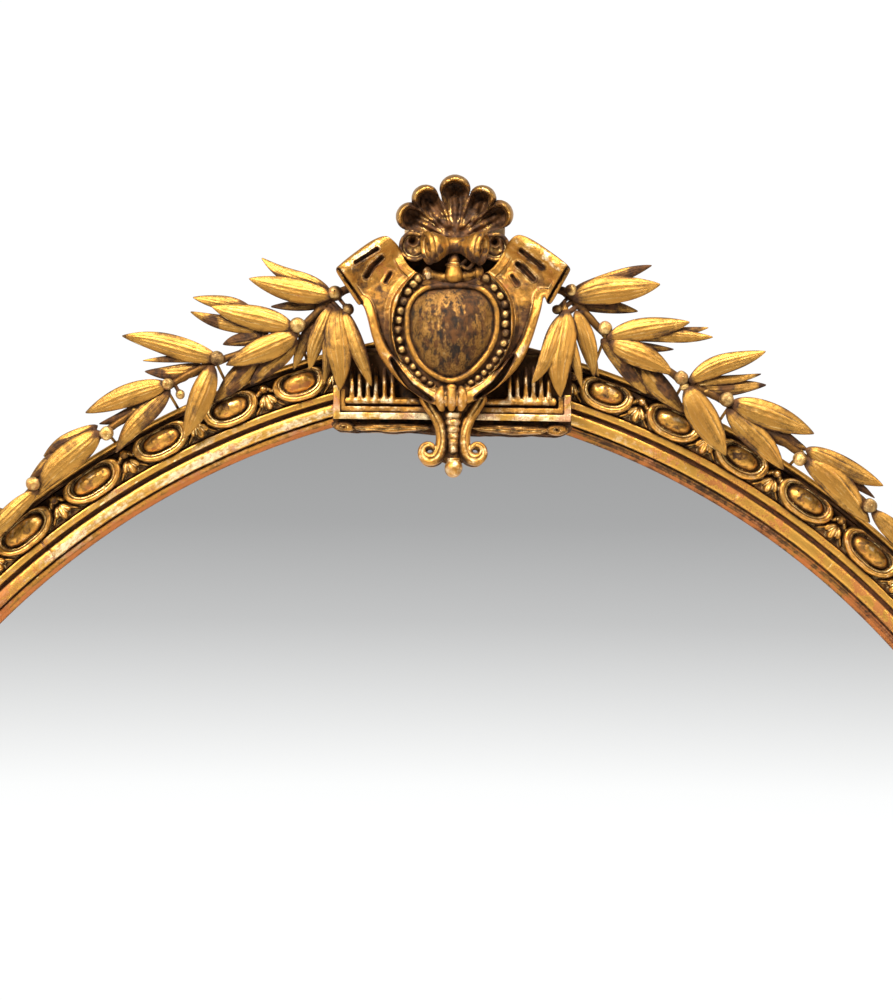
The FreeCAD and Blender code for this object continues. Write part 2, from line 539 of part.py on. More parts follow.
RIGHT = {
    "crest": [((577.8, 288.2), (651.9, 265.3), 13, 36, 33), ((575.5, 297.4), (660.5, 284.2), 25, 42, 38), ((574.4, 304.3), (638, 311.2), 13, 32, 29),
              ((565.2, 313.5), (560.6, 397.3), 24, 42, 48), ((563, 316), (531.9, 383.5), 16, 44, 51), ((565, 304), (581.8, 388), 12, 39.5, 39.5),
              ((576.7, 313.5), (594.5, 376.6), 16, 41, 36), ((580, 320), (598.5, 376.6), 10, 33, 29)],
    "upper": [((611, 337), (689.5, 322.4), 20, 42, 37), ((620, 334), (708.5, 327.6), 11, 35, 30), ((630, 338), (712.5, 337.3), 14, 37, 33),
              ((620, 343.6), (673.5, 349.4), 8, 35, 31), ((612.6, 343.6), (673.5, 374.6), 22, 41, 38), ((603.4, 341.3), (647, 394), 18, 34, 31),
              ((649.4, 373.5), (685, 412.5), 22, 31, 28)],
    "middle": [((691.8, 380.4), (765.3, 351.7), 18, 42, 37), ((694, 384), (761.3, 374), 8, 37, 33), ((697.6, 387), (766.5, 385), 14, 34, 30),
               ((688.2, 389.5), (726, 455.5), 26, 41, 36), ((735.3, 403.3), (813.9, 433.7), 24, 42, 37), ((743, 418), (808, 450.4), 16, 35, 31),
               ((729.5, 411.3), (783.5, 469.9), 22, 39, 34)],
}
# berries: (u, v), radius, depth of the centre
BERRY_L = {"crest": [((335, 293.4), 6.3, 40), ((348, 309.5), 5, 42)], "upper": [((297.7, 325), 6.5, 42)],
           "middle": [((217, 358), 6, 42), ((180.3, 394.3), 4, 38), ((167.5, 384), 5, 42)]}
BERRY_R = {"crest": [((571, 290.5), 5.5, 40), ((557, 309.5), 4, 42)], "upper": [((605.4, 328.4), 6, 40)],
           "middle": [((681.5, 378), 6, 42), ((684.4, 386), 4, 40), ((726.7, 399.8), 6.5, 41)]}
STEM_L = [(366, 282), (352, 287), (335, 296), (297, 330), (256, 348), (216, 362), (190, 374), (166, 388), (136, 411), (106, 431), (70, 458), (34, 487)]
STEM_R = [(542, 283), (556, 289), (571, 297), (606, 334), (648, 356), (684, 382), (706, 392), (730, 405), (764, 428), (800, 454), (836, 480), (870, 507)]
STEM_D = [32, 33, 35, 36, 36, 36, 36, 36, 36, 36, 36, 36]


def on_arc(side, ang, r):
    """Front view point at ang above the springing and r outside the sight edge, at depth 36."""
    p = arc_pt(r, ang)
    x = p.x if side < 0 else -p.x
    s = (Y_FACE - 36 - Y_VIEW) / VIEW_D
    a_ = (x - X_VIEW) / s
    b_ = -(p.z - Z_VIEW) / s
    return (U0 + a_ * math.cos(ROLL) - b_ * math.sin(ROLL), V0 + a_ * math.sin(ROLL) + b_ * math.cos(ROLL))


# the lower end of each branch trails down the arch in smaller and smaller sprays
TAIL_ANG = [48.6, 43.2, 38.2, 33.6, 29.4]
TAIL_R = [100, 98, 95, 92, 89]
TAIL_S = [1.0, 0.95, 0.88, 0.8, 0.72]
LOW_L = [((95, 427), (44, 456.4), 12, 36, 32), ((97, 434), (36.4, 495.3), 24, 41, 36), ((64, 453), (29, 481), 14, 34, 30), ((34.4, 492.7), (-33, 552), 16, 40, 35)]
LOW_R = [((809.4, 450.5), (882.9, 485.7), 20, 41, 37), ((807, 461), (869.9, 522.5), 25, 40, 35), ((812, 458), (875, 498), 10, 35, 31), ((874.5, 513.3), (931, 574), 18, 40, 35)]
LOWB_L = [((106.6, 433.3), 6, 41), ((33, 483.8), 6, 41)]
LOWB_R = [((800, 459), 6, 41), ((869.9, 505.6), 6, 41)]


def tail(side):
    leaves, berries, stem = [], [], []
    for i, (a_, r_, k) in enumerate(zip(TAIL_ANG, TAIL_R, TAIL_S)):
        kn_ = on_arc(side, a_, r_)
        stem.append(kn_)

        def rel(t, n):
            da = math.degrees(t / (R_SIGHT + r_))
            return on_arc(side, a_ - da, r_ + n)

        leaves.append((rel(2, 2), rel(84 * k, 13 * k), 20 * k, 41, 37))
        leaves.append((rel(3, -4), rel(70 * k, -34 * k), 20 * k, 40, 34))
        leaves.append((rel(6, 1), rel(66 * k, -8 * k), 12 * k, 34, 30))
        if i % 2 == 0:
            leaves.append((rel(4, 5), rel(48 * k, 36 * k), 13 * k, 35, 31))
        else:
            leaves.append((rel(2, -6), rel(46 * k, -50 * k), 18 * k, 38, 32))
        berries.append((rel(-2, 3), 6 * k, 41))
    # last leaf at the very end
    leaves.append((stem[-1], on_arc(side, TAIL_ANG[-1] - 5.0, TAIL_R[-1] - 8), 12, 36, 33))
    return leaves, berries, stem


def near_on(path, p):
    best = None
    for i in range(len(path) - 1):
        a_, b_ = path[i], path[i + 1]
        ab = b_ - a_
        t = max(0.0, min(1.0, (p - a_).dot(ab) / ab.dot(ab)))
        q = a_ + ab * t
        if best is None or (p - q).Length < (p - best).Length:
            best = q
    return best


pins = []
for side, tab, bt, st, low, lowb in ((-1, LEFT, BERRY_L, STEM_L, LOW_L, LOWB_L), (1, RIGHT, BERRY_R, STEM_R, LOW_R, LOWB_R)):
    tl, tb, ts = tail(side)
    path = [at(u, v, dd) for (u, v), dd in zip(st, STEM_D)] + [at(u, v, 36) for u, v in ts]
    sidename = "left" if side < 0 else "right"
    stem = fuse(twig(path, 3.4))
    keep(sidename + "_branch_stem", stem)
    groups = {"crest": (tab["crest"], bt["crest"]), "upper": (tab["upper"], bt["upper"]), "middle": (tab["middle"], bt["middle"]),
              "lower": (low + tl, lowb + tb)}
    for g, (lv, br) in groups.items():
        solids = []
        for b_, t_, w_, db, dt in lv:
            solids.append(leaf(b_, t_, w_, db, dt))
            p = at(b_[0], b_[1], db)
            q = near_on(path, p)
            e = at(b_[0] + 0.12 * (t_[0] - b_[0]), b_[1] + 0.12 * (t_[1] - b_[1]), db + 0.12 * (dt - db))
            if (e - q).Length > 3:
                solids.append(stalk(q, e))
        for (u, v), r_, dd in br:
            p = at(u, v, dd)
            solids.append(ball(p, r_))
            q = near_on(path, p)
            if (p - q).Length > 2:
                solids.append(stalk(q, p))
        keep("%s_spray_%s" % (sidename, g), fuse(solids))

    # wire pins from the outer fillet to the branch
    for i in (3, 5, 7, 9, 12, 14):
        q = path[i]
        x = -abs(q.x)
        ang = math.degrees(math.atan2(q.z - Z_SPRING, C_OFF - x))
        p = arc_pt(67.5, ang, Y_FACE - 9)
        if side > 0:
            p = V(-p.x, p.y, p.z)
        pins.append(rod(p, q, 1.5))
keep("branch_pins", pins)

if __name__ == "__main__":
    for n, s in sorted(ALL.items()):
        s.exportStep("parts/%s.step" % n)
        ok = s.isValid()
        print("%-28s solids %2d valid %s vol %.1f" % (n, len(s.Solids), ok, s.Volume))
    print(len(ALL), "nodes")
    bb = Part.makeCompound(list(ALL.values())).BoundBox
    print("box", bb)
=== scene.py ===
import bpy, math
import numpy as np
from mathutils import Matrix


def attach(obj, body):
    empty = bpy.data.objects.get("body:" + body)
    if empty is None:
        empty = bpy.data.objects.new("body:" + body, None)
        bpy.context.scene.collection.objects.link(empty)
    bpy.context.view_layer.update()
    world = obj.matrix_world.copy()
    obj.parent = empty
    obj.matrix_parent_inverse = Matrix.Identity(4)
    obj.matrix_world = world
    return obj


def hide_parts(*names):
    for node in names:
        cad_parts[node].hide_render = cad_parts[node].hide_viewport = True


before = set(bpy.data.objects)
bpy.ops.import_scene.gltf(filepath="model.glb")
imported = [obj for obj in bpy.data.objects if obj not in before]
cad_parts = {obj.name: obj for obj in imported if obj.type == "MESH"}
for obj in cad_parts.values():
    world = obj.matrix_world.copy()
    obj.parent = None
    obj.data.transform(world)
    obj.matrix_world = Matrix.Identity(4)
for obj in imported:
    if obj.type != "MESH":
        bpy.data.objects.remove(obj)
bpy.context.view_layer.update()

f4 = np.float32

# ------------------------------------------------------------------ sizes, mm (those of the construction)
R_SIGHT, C_OFF, Z_SPRING, W_MOULD = 781.0, 116.0, 998.0, 72.5
Y_FACE = -12.0
VIEW_D, ROLL = 2200.0, math.radians(0.8)
U0, V0, X_VIEW, Z_VIEW, Y_VIEW = 446.5, 500.0, 4.5, 1674.0, -2227.0
CR, SR = math.cos(ROLL), math.sin(ROLL)


def at(u, v, d):
    """Front view u, v (mm on the plane of the mouldings) and depth d in front of the frame's face, to x, y, z in mm."""
    u, v, d = np.asarray(u, float), np.asarray(v, float), np.asarray(d, float)
    y = Y_FACE - d
    s = (y - Y_VIEW) / VIEW_D
    du, dv = u - U0, v - V0
    a, b = du * CR + dv * SR, -du * SR + dv * CR
    return np.stack(np.broadcast_arrays(X_VIEW + a * s, y, Z_VIEW - b * s), -1)


# ------------------------------------------------------------------ camera
cam_data = bpy.data.cameras.new("camera")
cam = bpy.data.objects.new("camera", cam_data)
bpy.context.scene.collection.objects.link(cam)
cam_data.sensor_width = 36.0
cam_data.sensor_fit = "AUTO"
cam_data.lens = VIEW_D * 36.0 / 1000.0
cam_data.clip_end = 100.0
cam.location = (X_VIEW / 1000, Y_VIEW / 1000, Z_VIEW / 1000)
cam.rotation_mode = "XYZ"
cam.rotation_euler = (math.radians(90), -ROLL, 0)
bpy.context.scene.camera = cam
scn = bpy.context.scene
scn.view_settings.view_transform = "Standard"
scn.view_settings.look = "None"
scn.view_settings.exposure = 0.0
scn.view_settings.gamma = 1.0


# ------------------------------------------------------------------ meshes
def make(name, V, faces, mats, smooth=True, node=None, slot=None, body="frame", mat_index=None, dark=None, red=None, pale=None):
    """faces: list of int arrays (n, k)."""
    me = bpy.data.meshes.new(name)
    V = np.ascontiguousarray(np.asarray(V, float) * 0.001)
    loops = np.concatenate([np.asarray(f).ravel() for f in faces]).astype(np.int32)
    tot = np.concatenate([np.full(len(f), np.asarray(f).shape[1]) for f in faces]).astype(np.int32)
    st = np.concatenate([[0], np.cumsum(tot)[:-1]]).astype(np.int32)
    me.vertices.add(len(V))
    me.vertices.foreach_set("co", V.ravel())
    me.loops.add(len(loops))
    me.loops.foreach_set("vertex_index", loops)
    me.polygons.add(len(tot))
    me.polygons.foreach_set("loop_start", st)
    me.polygons.foreach_set("use_smooth", np.full(len(tot), bool(smooth)))
    for m in (mats if isinstance(mats, (list, tuple)) else [mats]):
        me.materials.append(m)
    if mat_index is not None:
        me.polygons.foreach_set("material_index", np.asarray(mat_index, np.int32))
    me.update(calc_edges=True)
    me.validate()
    for key, val in (("dark", dark), ("red", red), ("pale", pale)):
        if val is not None:
            at_ = me.attributes.new(key, "FLOAT", "POINT")
            at_.data.foreach_set("value", np.clip(np.asarray(val, float).ravel(), 0, 1).astype(f4))
    ob = bpy.data.objects.new(name, me)
    scn.collection.objects.link(ob)
    if node:
        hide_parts(*([node] if isinstance(node, str) else node))
    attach(ob, body)
    return ob


def nets(F, lo, h):
    """Surface of F = 0 with F < 0 inside, as vertices and quads facing outwards."""
    ins = F < 0
    c = np.zeros(np.array(F.shape) - 1, np.uint8)
    sl = (slice(0, -1), slice(1, None))
    corners = [(i, j, k) for i in (0, 1) for j in (0, 1) for k in (0, 1)]
    for i, j, k in corners:
        c += ins[sl[i], sl[j], sl[k]]
    act = (c > 0) & (c < 8)
    I = np.argwhere(act)
    idx = np.full(c.shape, -1, np.int32)
    idx[act] = np.arange(len(I), dtype=np.int32)
    vals = {q: F[I[:, 0] + q[0], I[:, 1] + q[1], I[:, 2] + q[2]].astype(np.float64) for q in corners}
    P = np.zeros((len(I), 3))
    W = np.zeros(len(I))
    for a in corners:
        for ax in range(3):
            if a[ax]:
                continue
            b = list(a)
            b[ax] = 1
            b = tuple(b)
            va, vb = vals[a], vals[b]
            m = (va < 0) != (vb < 0)
            t = va[m] / (va[m] - vb[m])
            p = np.tile(np.array(a, float), (m.sum(), 1))
            p[:, ax] += t
            P[m] += p
            W[m] += 1
    P = (I + P / W[:, None]) * h + np.asarray(lo, float)
    quads = []
    for ax in range(3):
        b, e = (ax + 1) % 3, (ax + 2) % 3
        s0 = [slice(None)] * 3
        s1 = [slice(None)] * 3
        s0[ax], s1[ax] = slice(0, -1), slice(1, None)
        A, B = ins[tuple(s0)], ins[tuple(s1)]
        d = A != B
        w = [slice(None)] * 3
        w[b], w[e] = slice(1, -1), slice(1, -1)
        E = np.argwhere(d[tuple(w)])
        E[:, b] += 1
        E[:, e] += 1
        up = A[E[:, 0], E[:, 1], E[:, 2]]
        def cell(ob, oe):
            q = E.copy()
            q[:, b] += ob
            q[:, e] += oe
            return idx[q[:, 0], q[:, 1], q[:, 2]]
        Q = np.stack([cell(-1, -1), cell(0, -1), cell(0, 0), cell(-1, 0)], 1)
        Q[~up] = Q[~up][:, ::-1]
        quads.append(Q)
    Q = np.concatenate(quads)
    return P, Q[(Q >= 0).all(1)]


def relax(P, Q, n=1, k=0.5):
    e = np.concatenate([Q[:, [0, 1]], Q[:, [1, 2]], Q[:, [2, 3]], Q[:, [3, 0]]])
    cnt = np.bincount(e[:, 0], minlength=len(P)) + np.bincount(e[:, 1], minlength=len(P))
    for _ in range(n):
        S = np.stack([np.bincount(e[:, 0], P[e[:, 1], a], len(P)) + np.bincount(e[:, 1], P[e[:, 0], a], len(P)) for a in range(3)], 1)
        P = P + k * (S / np.maximum(cnt, 1)[:, None] - P)
    return P


def smin(a, b, k):
    if k <= 0:
        return np.minimum(a, b)
    h = np.clip(0.5 + 0.5 * (b - a) / k, 0, 1)
    return b + (a - b) * h - k * h * (1 - h)


def smax(a, b, k):
    return -smin(-a, -b, k)


class Vol:
    """Signed distance volume over u, v, d."""
    def __init__(s, lo, hi, h):
        s.lo, s.h = np.array(lo, float), h
        n = np.ceil((np.array(hi, float) - s.lo) / h).astype(int) + 1
        s.ax = [(s.lo[i] + h * np.arange(n[i])).astype(f4) for i in range(3)]
        s.F = np.full(n, 60.0, f4)

    def region(s, lo, hi):
        out = []
        for i in range(3):
            a = int(max(0, math.floor((lo[i] - s.lo[i]) / s.h)))
            b = int(min(len(s.ax[i]), math.ceil((hi[i] - s.lo[i]) / s.h) + 1))
            out.append(slice(a, max(a, b)))
        return tuple(out)

    def xyz(s, r):
        return s.ax[0][r[0]][:, None, None], s.ax[1][r[1]][None, :, None], s.ax[2][r[2]][None, None, :]

    def apply(s, fn, lo=None, hi=None, k=0.0, mode="add"):
        lo = s.lo if lo is None else lo
        hi = [a[-1] for a in s.ax] if hi is None else hi
        r = s.region(lo, hi)
        if any(q.stop <= q.start for q in r):
            return s
        f = fn(*s.xyz(r)).astype(f4)
        A = s.F[r]
        s.F[r] = smin(A, f, k) if mode == "add" else smax(A, -f, k) if mode == "sub" else smax(A, f, k)
        return s

    # a tube through points with radii; sq flattens it along d
    def tube(s, pts, rad, k=0.0, mode="add", sq=1.0):
        pts = np.asarray(pts, float)
        rad = np.broadcast_to(np.asarray(rad, float), (len(pts),))
        for i in range(len(pts) - 1):
            a, b, ra, rb = pts[i], pts[i + 1], rad[i], rad[i + 1]
            m = max(ra, rb) + k + 2 * s.h
            lo, hi = np.minimum(a, b) - m, np.maximum(a, b) + m

            def fn(X, Y, Z, a=a, b=b, ra=ra, rb=rb):
                ab = b - a
                L2 = float(ab @ ab) + 1e-9
                t = np.clip(((X - a[0]) * ab[0] + (Y - a[1]) * ab[1] + (Z - a[2]) * ab[2]) / L2, 0, 1)
                dx, dy, dz = X - a[0] - t * ab[0], Y - a[1] - t * ab[1], (Z - a[2] - t * ab[2]) * sq
                return np.sqrt(dx * dx + dy * dy + dz * dz) - (ra + t * (rb - ra))
            s.apply(fn, lo, hi, k, mode)
        return s

    def ell(s, c, r, k=0.0, mode="add", rot=0.0):
        c, r = np.asarray(c, float), np.asarray(r, float)
        m = max(r) + k + 2 * s.h
        co, si = math.cos(rot), math.sin(rot)

        def fn(X, Y, Z):
            dx, dy = X - c[0], Y - c[1]
            a, b = (dx * co + dy * si) / r[0], (-dx * si + dy * co) / r[1]
            q = np.sqrt(a * a + b * b + ((Z - c[2]) / r[2]) ** 2)
            return (q - 1) * min(r)
        return s.apply(fn, c - m, c + m, k, mode)

    def mesh(s, n=2, k=0.5):
        s.F[0], s.F[-1], s.F[:, 0], s.F[:, -1], s.F[:, :, 0], s.F[:, :, -1] = (9,) * 6
        P, Q = nets(s.F, s.lo, s.h)
        P = relax(P, Q, n, k)
        return P, Q


def spline(pts, n=8, closed=False):
    P = np.asarray(pts, float)
    m = len(P)
    out = []
    rng = range(m if closed else m - 1)
    for i in rng:
        p0 = P[(i - 1) % m] if closed or i else 2 * P[0] - P[1]
        p1, p2 = P[i], P[(i + 1) % m]
        p3 = P[(i + 2) % m] if closed or i + 2 < m else 2 * P[-1] - P[-2]
        t = (np.arange(n) / n)[:, None]
        out.append(0.5 * (2 * p1 + (p2 - p0) * t + (2 * p0 - 5 * p1 + 4 * p2 - p3) * t * t + (3 * p1 - p0 - 3 * p2 + p3) * t ** 3))
    out = np.concatenate(out)
    return out if closed else np.vstack([out, P[-1]])


def sdpoly(P, U, V):
    """Signed distance to a closed polygon in the plane, negative inside."""
    P = np.asarray(P, float)
    U, V = np.asarray(U, float), np.asarray(V, float)
    d = np.full(np.broadcast(U, V).shape, 1e9)
    s = np.ones_like(d)
    n = len(P)
    for i in range(n):
        a, b = P[i], P[i - 1]
        ex, ey = b[0] - a[0], b[1] - a[1]
        wx, wy = U - a[0], V - a[1]
        t = np.clip((wx * ex + wy * ey) / (ex * ex + ey * ey + 1e-12), 0, 1)
        dx, dy = wx - ex * t, wy - ey * t
        d = np.minimum(d, dx * dx + dy * dy)
        c1, c2, c3 = V >= a[1], V < b[1], ex * wy > ey * wx
        flip = (c1 & c2 & c3) | (~c1 & ~c2 & ~c3)
        s = np.where(flip, -s, s)
    return s * np.sqrt(d)


def along(P, U, V):
    """Distance to an open line, share of its length there, and side (+ to the left of its run, v down)."""
    P = np.asarray(P, float)
    seg = np.hypot(*(P[1:] - P[:-1]).T)
    cum = np.concatenate([[0], np.cumsum(seg)])
    best = np.full(np.broadcast(U, V).shape, 1e18)
    par = np.zeros_like(best)
    side = np.zeros_like(best)
    for i in range(len(P) - 1):
        a, b = P[i], P[i + 1]
        ex, ey = b - a
        wx, wy = U - a[0], V - a[1]
        t = np.clip((wx * ex + wy * ey) / (ex * ex + ey * ey + 1e-12), 0, 1)
        d = (wx - ex * t) ** 2 + (wy - ey * t) ** 2
        m = d < best
        best = np.where(m, d, best)
        par = np.where(m, (cum[i] + t * seg[i]) / cum[-1], par)
        side = np.where(m, np.sign(ex * wy - ey * wx), side)
    return np.sqrt(best), par, side


def hump(x, w):
    """1 in the middle, 0 at |x| = w, round."""
    return np.sqrt(np.clip(1 - (x / w) ** 2, 0, 1))


def step(a, b, x):
    t = np.clip((x - a) / (b - a), 0, 1)
    return t * t * (3 - 2 * t)


_rs = np.random.RandomState(7)
_G = _rs.rand(64, 64, 64).astype(f4)


def noise(x, y, z, scale):
    """Smooth value noise, 0..1, with features of about `scale` mm."""
    q = [np.asarray(c, float) / scale for c in np.broadcast_arrays(x, y, z)]
    i = [np.floor(c).astype(int) for c in q]
    t = [c - j for c, j in zip(q, i)]
    t = [c * c * (3 - 2 * c) for c in t]
    out = 0
    for a in (0, 1):
        for b in (0, 1):
            for c in (0, 1):
                w = (t[0] if a else 1 - t[0]) * (t[1] if b else 1 - t[1]) * (t[2] if c else 1 - t[2])
                out = out + w * _G[(i[0] + a) % 64, (i[1] + b) % 64, (i[2] + c) % 64]
    return out


# ------------------------------------------------------------------ materials
def nodes_of(name):
    m = bpy.data.materials.new(name)
    m.use_nodes = True
    nt = m.node_tree
    for n in list(nt.nodes):
        nt.nodes.remove(n)
    out = nt.nodes.new("ShaderNodeOutputMaterial")
    bs = nt.nodes.new("ShaderNodeBsdfPrincipled")
    nt.links.new(bs.outputs[0], out.inputs[0])
    return m, nt, bs


class N:
    def __init__(s, nt):
        s.nt = nt

    def new(s, kind, **kw):
        n = s.nt.nodes.new(kind)
        for k, v in kw.items():
            setattr(n, k, v)
        return n

    def put(s, sock, v):
        if isinstance(v, bpy.types.NodeSocket):
            s.nt.links.new(v, sock)
        elif v is not None:
            sock.default_value = v

    def math(s, op, a, b=None, c=None, clamp=False):
        n = s.new("ShaderNodeMath", operation=op, use_clamp=clamp)
        for i, v in enumerate((a, b, c)):
            if v is not None:
                s.put(n.inputs[i], v)
        return n.outputs[0]

    def noise(s, vec, scale, detail=4, rough=0.55, dist=0.0):
        n = s.new("ShaderNodeTexNoise")
        s.put(n.inputs["Vector"], vec)
        n.inputs["Scale"].default_value = scale
        n.inputs["Detail"].default_value = detail
        n.inputs["Roughness"].default_value = rough
        n.inputs["Distortion"].default_value = dist
        return n.outputs["Fac"]

    def ramp(s, fac, stops, mode="LINEAR"):
        n = s.new("ShaderNodeValToRGB")
        n.color_ramp.interpolation = mode
        e = n.color_ramp.elements
        while len(e) < len(stops):
            e.new(0.5)
        for q, (p, c) in zip(e, stops):
            q.position = p
            q.color = c if len(c) == 4 else (*c, 1)
        s.put(n.inputs[0], fac)
        return n.outputs[0]

    def maprange(s, v, a, b, c=0.0, d=1.0, smooth=True):
        n = s.new("ShaderNodeMapRange")
        n.interpolation_type = "SMOOTHSTEP" if smooth else "LINEAR"
        s.put(n.inputs[0], v)
        for i, x in enumerate((a, b, c, d)):
            n.inputs[i + 1].default_value = x
        return n.outputs[0]

    def mix(s, fac, a, b, blend="MIX"):
        n = s.new("ShaderNodeMix", data_type="RGBA", blend_type=blend)
        n.clamp_factor = True
        s.put(n.inputs[0], fac)
        s.put(n.inputs[6], a if isinstance(a, bpy.types.NodeSocket) else (*a, 1))
        s.put(n.inputs[7], b if isinstance(b, bpy.types.NodeSocket) else (*b, 1))
        return n.outputs[2]


def gilt(name, mid=(0.60, 0.34, 0.075), light=(0.93, 0.70, 0.30), dark=(0.030, 0.012, 0.004), bole=(0.26, 0.070, 0.020),
         wear=0.30, grime=0.5, rough=0.34, ao_d=0.012, streak=None, speck=0.5, bump=0.35, edge=0.6):
    """Old water gilding: leaf over red clay, rubbed on the heights, dark in the hollows."""
    m, nt, bs = nodes_of(name)
    n = N(nt)
    co = n.new("ShaderNodeTexCoord").outputs["Object"]
    vec = co
    if streak:
        mp = n.new("ShaderNodeMapping")
        n.put(mp.inputs["Vector"], co)
        mp.inputs["Scale"].default_value = streak
        vec = mp.outputs[0]
    big = n.noise(vec, 38, 5, 0.6, 0.4)
    midn = n.noise(vec, 150, 5, 0.62, 0.3)
    fine = n.noise(vec, 640, 4, 0.65)
    grit = n.noise(co, 1700, 2, 0.6)
    ao = n.new("ShaderNodeAmbientOcclusion")
    ao.samples = 6
    ao.inputs["Distance"].default_value = ao_d
    cav = n.maprange(ao.outputs["AO"], 0.30, 0.95)
    geo = n.new("ShaderNodeNewGeometry")
    pt = n.maprange(geo.outputs["Pointiness"], 0.47, 0.56)
    # how much dark stays: hollows, plus blotches
    blot = n.maprange(n.math("ADD", n.math("MULTIPLY", big, 0.6), n.math("MULTIPLY", midn, 0.4)), 0.38, 0.62)
    keep = n.math("ADD", cav, n.math("MULTIPLY", n.math("SUBTRACT", blot, 0.5), 0.55 * grime))
    keep = n.math("ADD", keep, n.math("MULTIPLY", n.math("SUBTRACT", fine, 0.5), 0.5 * speck))
    keep = n.math("ADD", keep, n.math("MULTIPLY", n.math("SUBTRACT", pt, 0.42), edge))
    # the dark attribute darkens the colour: dirt, and the painted shade and painted shadow laid on the pieces
    dk = n.new("ShaderNodeAttribute", attribute_name="dark").outputs["Fac"]
    rd = n.new("ShaderNodeAttribute", attribute_name="red").outputs["Fac"]
    keep = n.math("SUBTRACT", keep, n.math("MULTIPLY", dk, n.math("ADD", 0.75, n.math("MULTIPLY", midn, 0.55))))
    keep = n.maprange(keep, 0.20, 0.86)
    gold = n.mix(n.maprange(n.math("ADD", n.math("MULTIPLY", pt, 0.55), n.math("MULTIPLY", midn, 0.6)), 0.47, 0.82), mid, light)
    gold = n.mix(n.maprange(big, 0.35, 0.7, 0.0, 0.35), gold, (mid[0] * 0.82, mid[1] * 0.62, mid[2] * 0.45))
    # the pale attribute mixes towards cream: rubbed pale leaf and painted highlight
    pa = n.new("ShaderNodeAttribute", attribute_name="pale").outputs["Fac"]
    pale = n.maprange(n.math("ADD", pa, n.math("ADD", n.math("MULTIPLY", n.math("SUBTRACT", fine, 0.5), 0.9), n.math("MULTIPLY", n.math("SUBTRACT", midn, 0.5), 1.5))), 0.28, 1.0, 0.0, 0.75)
    gold = n.mix(pale, gold, (1.0, 0.86, 0.56))
    brown = n.mix(n.maprange(midn, 0.35, 0.65), dark, (0.105, 0.040, 0.009))
    col = n.mix(keep, brown, gold)
    # rubbed through to the clay
    rub = n.math("ADD", n.math("MULTIPLY", big, 0.45), n.math("ADD", n.math("MULTIPLY", midn, 0.35), n.math("MULTIPLY", fine, 0.30)))
    rub = n.math("ADD", n.math("ADD", rub, n.math("MULTIPLY", pt, 0.06)), n.math("MULTIPLY", rd, 0.16))
    th = 0.72 - 0.28 * wear
    rub = n.maprange(rub, th, th + 0.05)
    col = n.mix(n.math("MULTIPLY", rub, n.math("ADD", 0.25, n.math("MULTIPLY", keep, 0.5))), col, bole)
    n.put(bs.inputs["Base Color"], col)
    met = n.math("MULTIPLY", n.maprange(keep, 0.1, 0.7, 0.62, 0.97), n.math("SUBTRACT", 1.0, n.math("MULTIPLY", rub, 0.35)))
    n.put(bs.inputs["Metallic"], met)
    ro = n.math("ADD", n.math("MULTIPLY", n.math("SUBTRACT", 1.0, keep), 0.30), n.math("ADD", rough - 0.10, n.math("MULTIPLY", midn, 0.22)))
    ro = n.math("ADD", ro, n.math("MULTIPLY", rub, 0.2), clamp=True)
    n.put(bs.inputs["Roughness"], ro)
    hsum = n.math("ADD", n.math("MULTIPLY", midn, 0.9), n.math("ADD", n.math("MULTIPLY", fine, 0.38), n.math("MULTIPLY", grit, 0.12)))
    hsum = n.math("SUBTRACT", hsum, n.math("MULTIPLY", rub, 0.10))
    b = n.new("ShaderNodeBump")
    b.inputs["Strength"].default_value = bump
    b.inputs["Distance"].default_value = 0.0016
    n.put(b.inputs["Height"], hsum)
    n.put(bs.inputs["Normal"], b.outputs[0])
    return m


def wood(name, a, b, axis="Z", ring=26.0, rough=0.72, dark=0.0):
    m, nt, bs = nodes_of(name)
    n = N(nt)
    co = n.new("ShaderNodeTexCoord").outputs["Object"]
    mp = n.new("ShaderNodeMapping")
    n.put(mp.inputs["Vector"], co)
    mp.inputs["Scale"].default_value = {"Z": (1, 1, 0.06), "X": (0.06, 1, 1)}[axis]
    v = mp.outputs[0]
    g1 = n.noise(v, ring, 4, 0.6, 1.6)
    g2 = n.noise(v, ring * 9, 5, 0.65, 0.6)
    g3 = n.noise(v, ring * 45, 3, 0.6)
    blot = n.noise(co, 5, 4, 0.6)
    wv = n.math("FRACT", n.math("MULTIPLY", g1, 9.0))
    ringv = n.maprange(wv, 0.0, 1.0)
    f = n.math("ADD", n.math("MULTIPLY", ringv, 0.45), n.math("ADD", n.math("MULTIPLY", g2, 0.40), n.math("MULTIPLY", g3, 0.25)))
    col = n.mix(n.maprange(f, 0.25, 0.85), a, b)
    col = n.mix(n.maprange(blot, 0.35, 0.75, 0.0, 0.55), col, tuple(0.45 * c for c in a))
    col = n.mix(n.maprange(n.noise(co, 420, 2), 0.66, 0.74, 0.0, 0.6), col, (0.03, 0.02, 0.012))
    n.put(bs.inputs["Base Color"], col)
    n.put(bs.inputs["Roughness"], n.maprange(g2, 0.2, 0.8, rough - 0.12, rough + 0.12))
    bp = n.new("ShaderNodeBump")
    bp.inputs["Strength"].default_value = 0.4
    bp.inputs["Distance"].default_value = 0.0008
    n.put(bp.inputs["Height"], n.math("ADD", n.math("MULTIPLY", ringv, 0.3), n.math("ADD", g2, n.math("MULTIPLY", g3, 0.6))))
    n.put(bs.inputs["Normal"], bp.outputs[0])
    return m


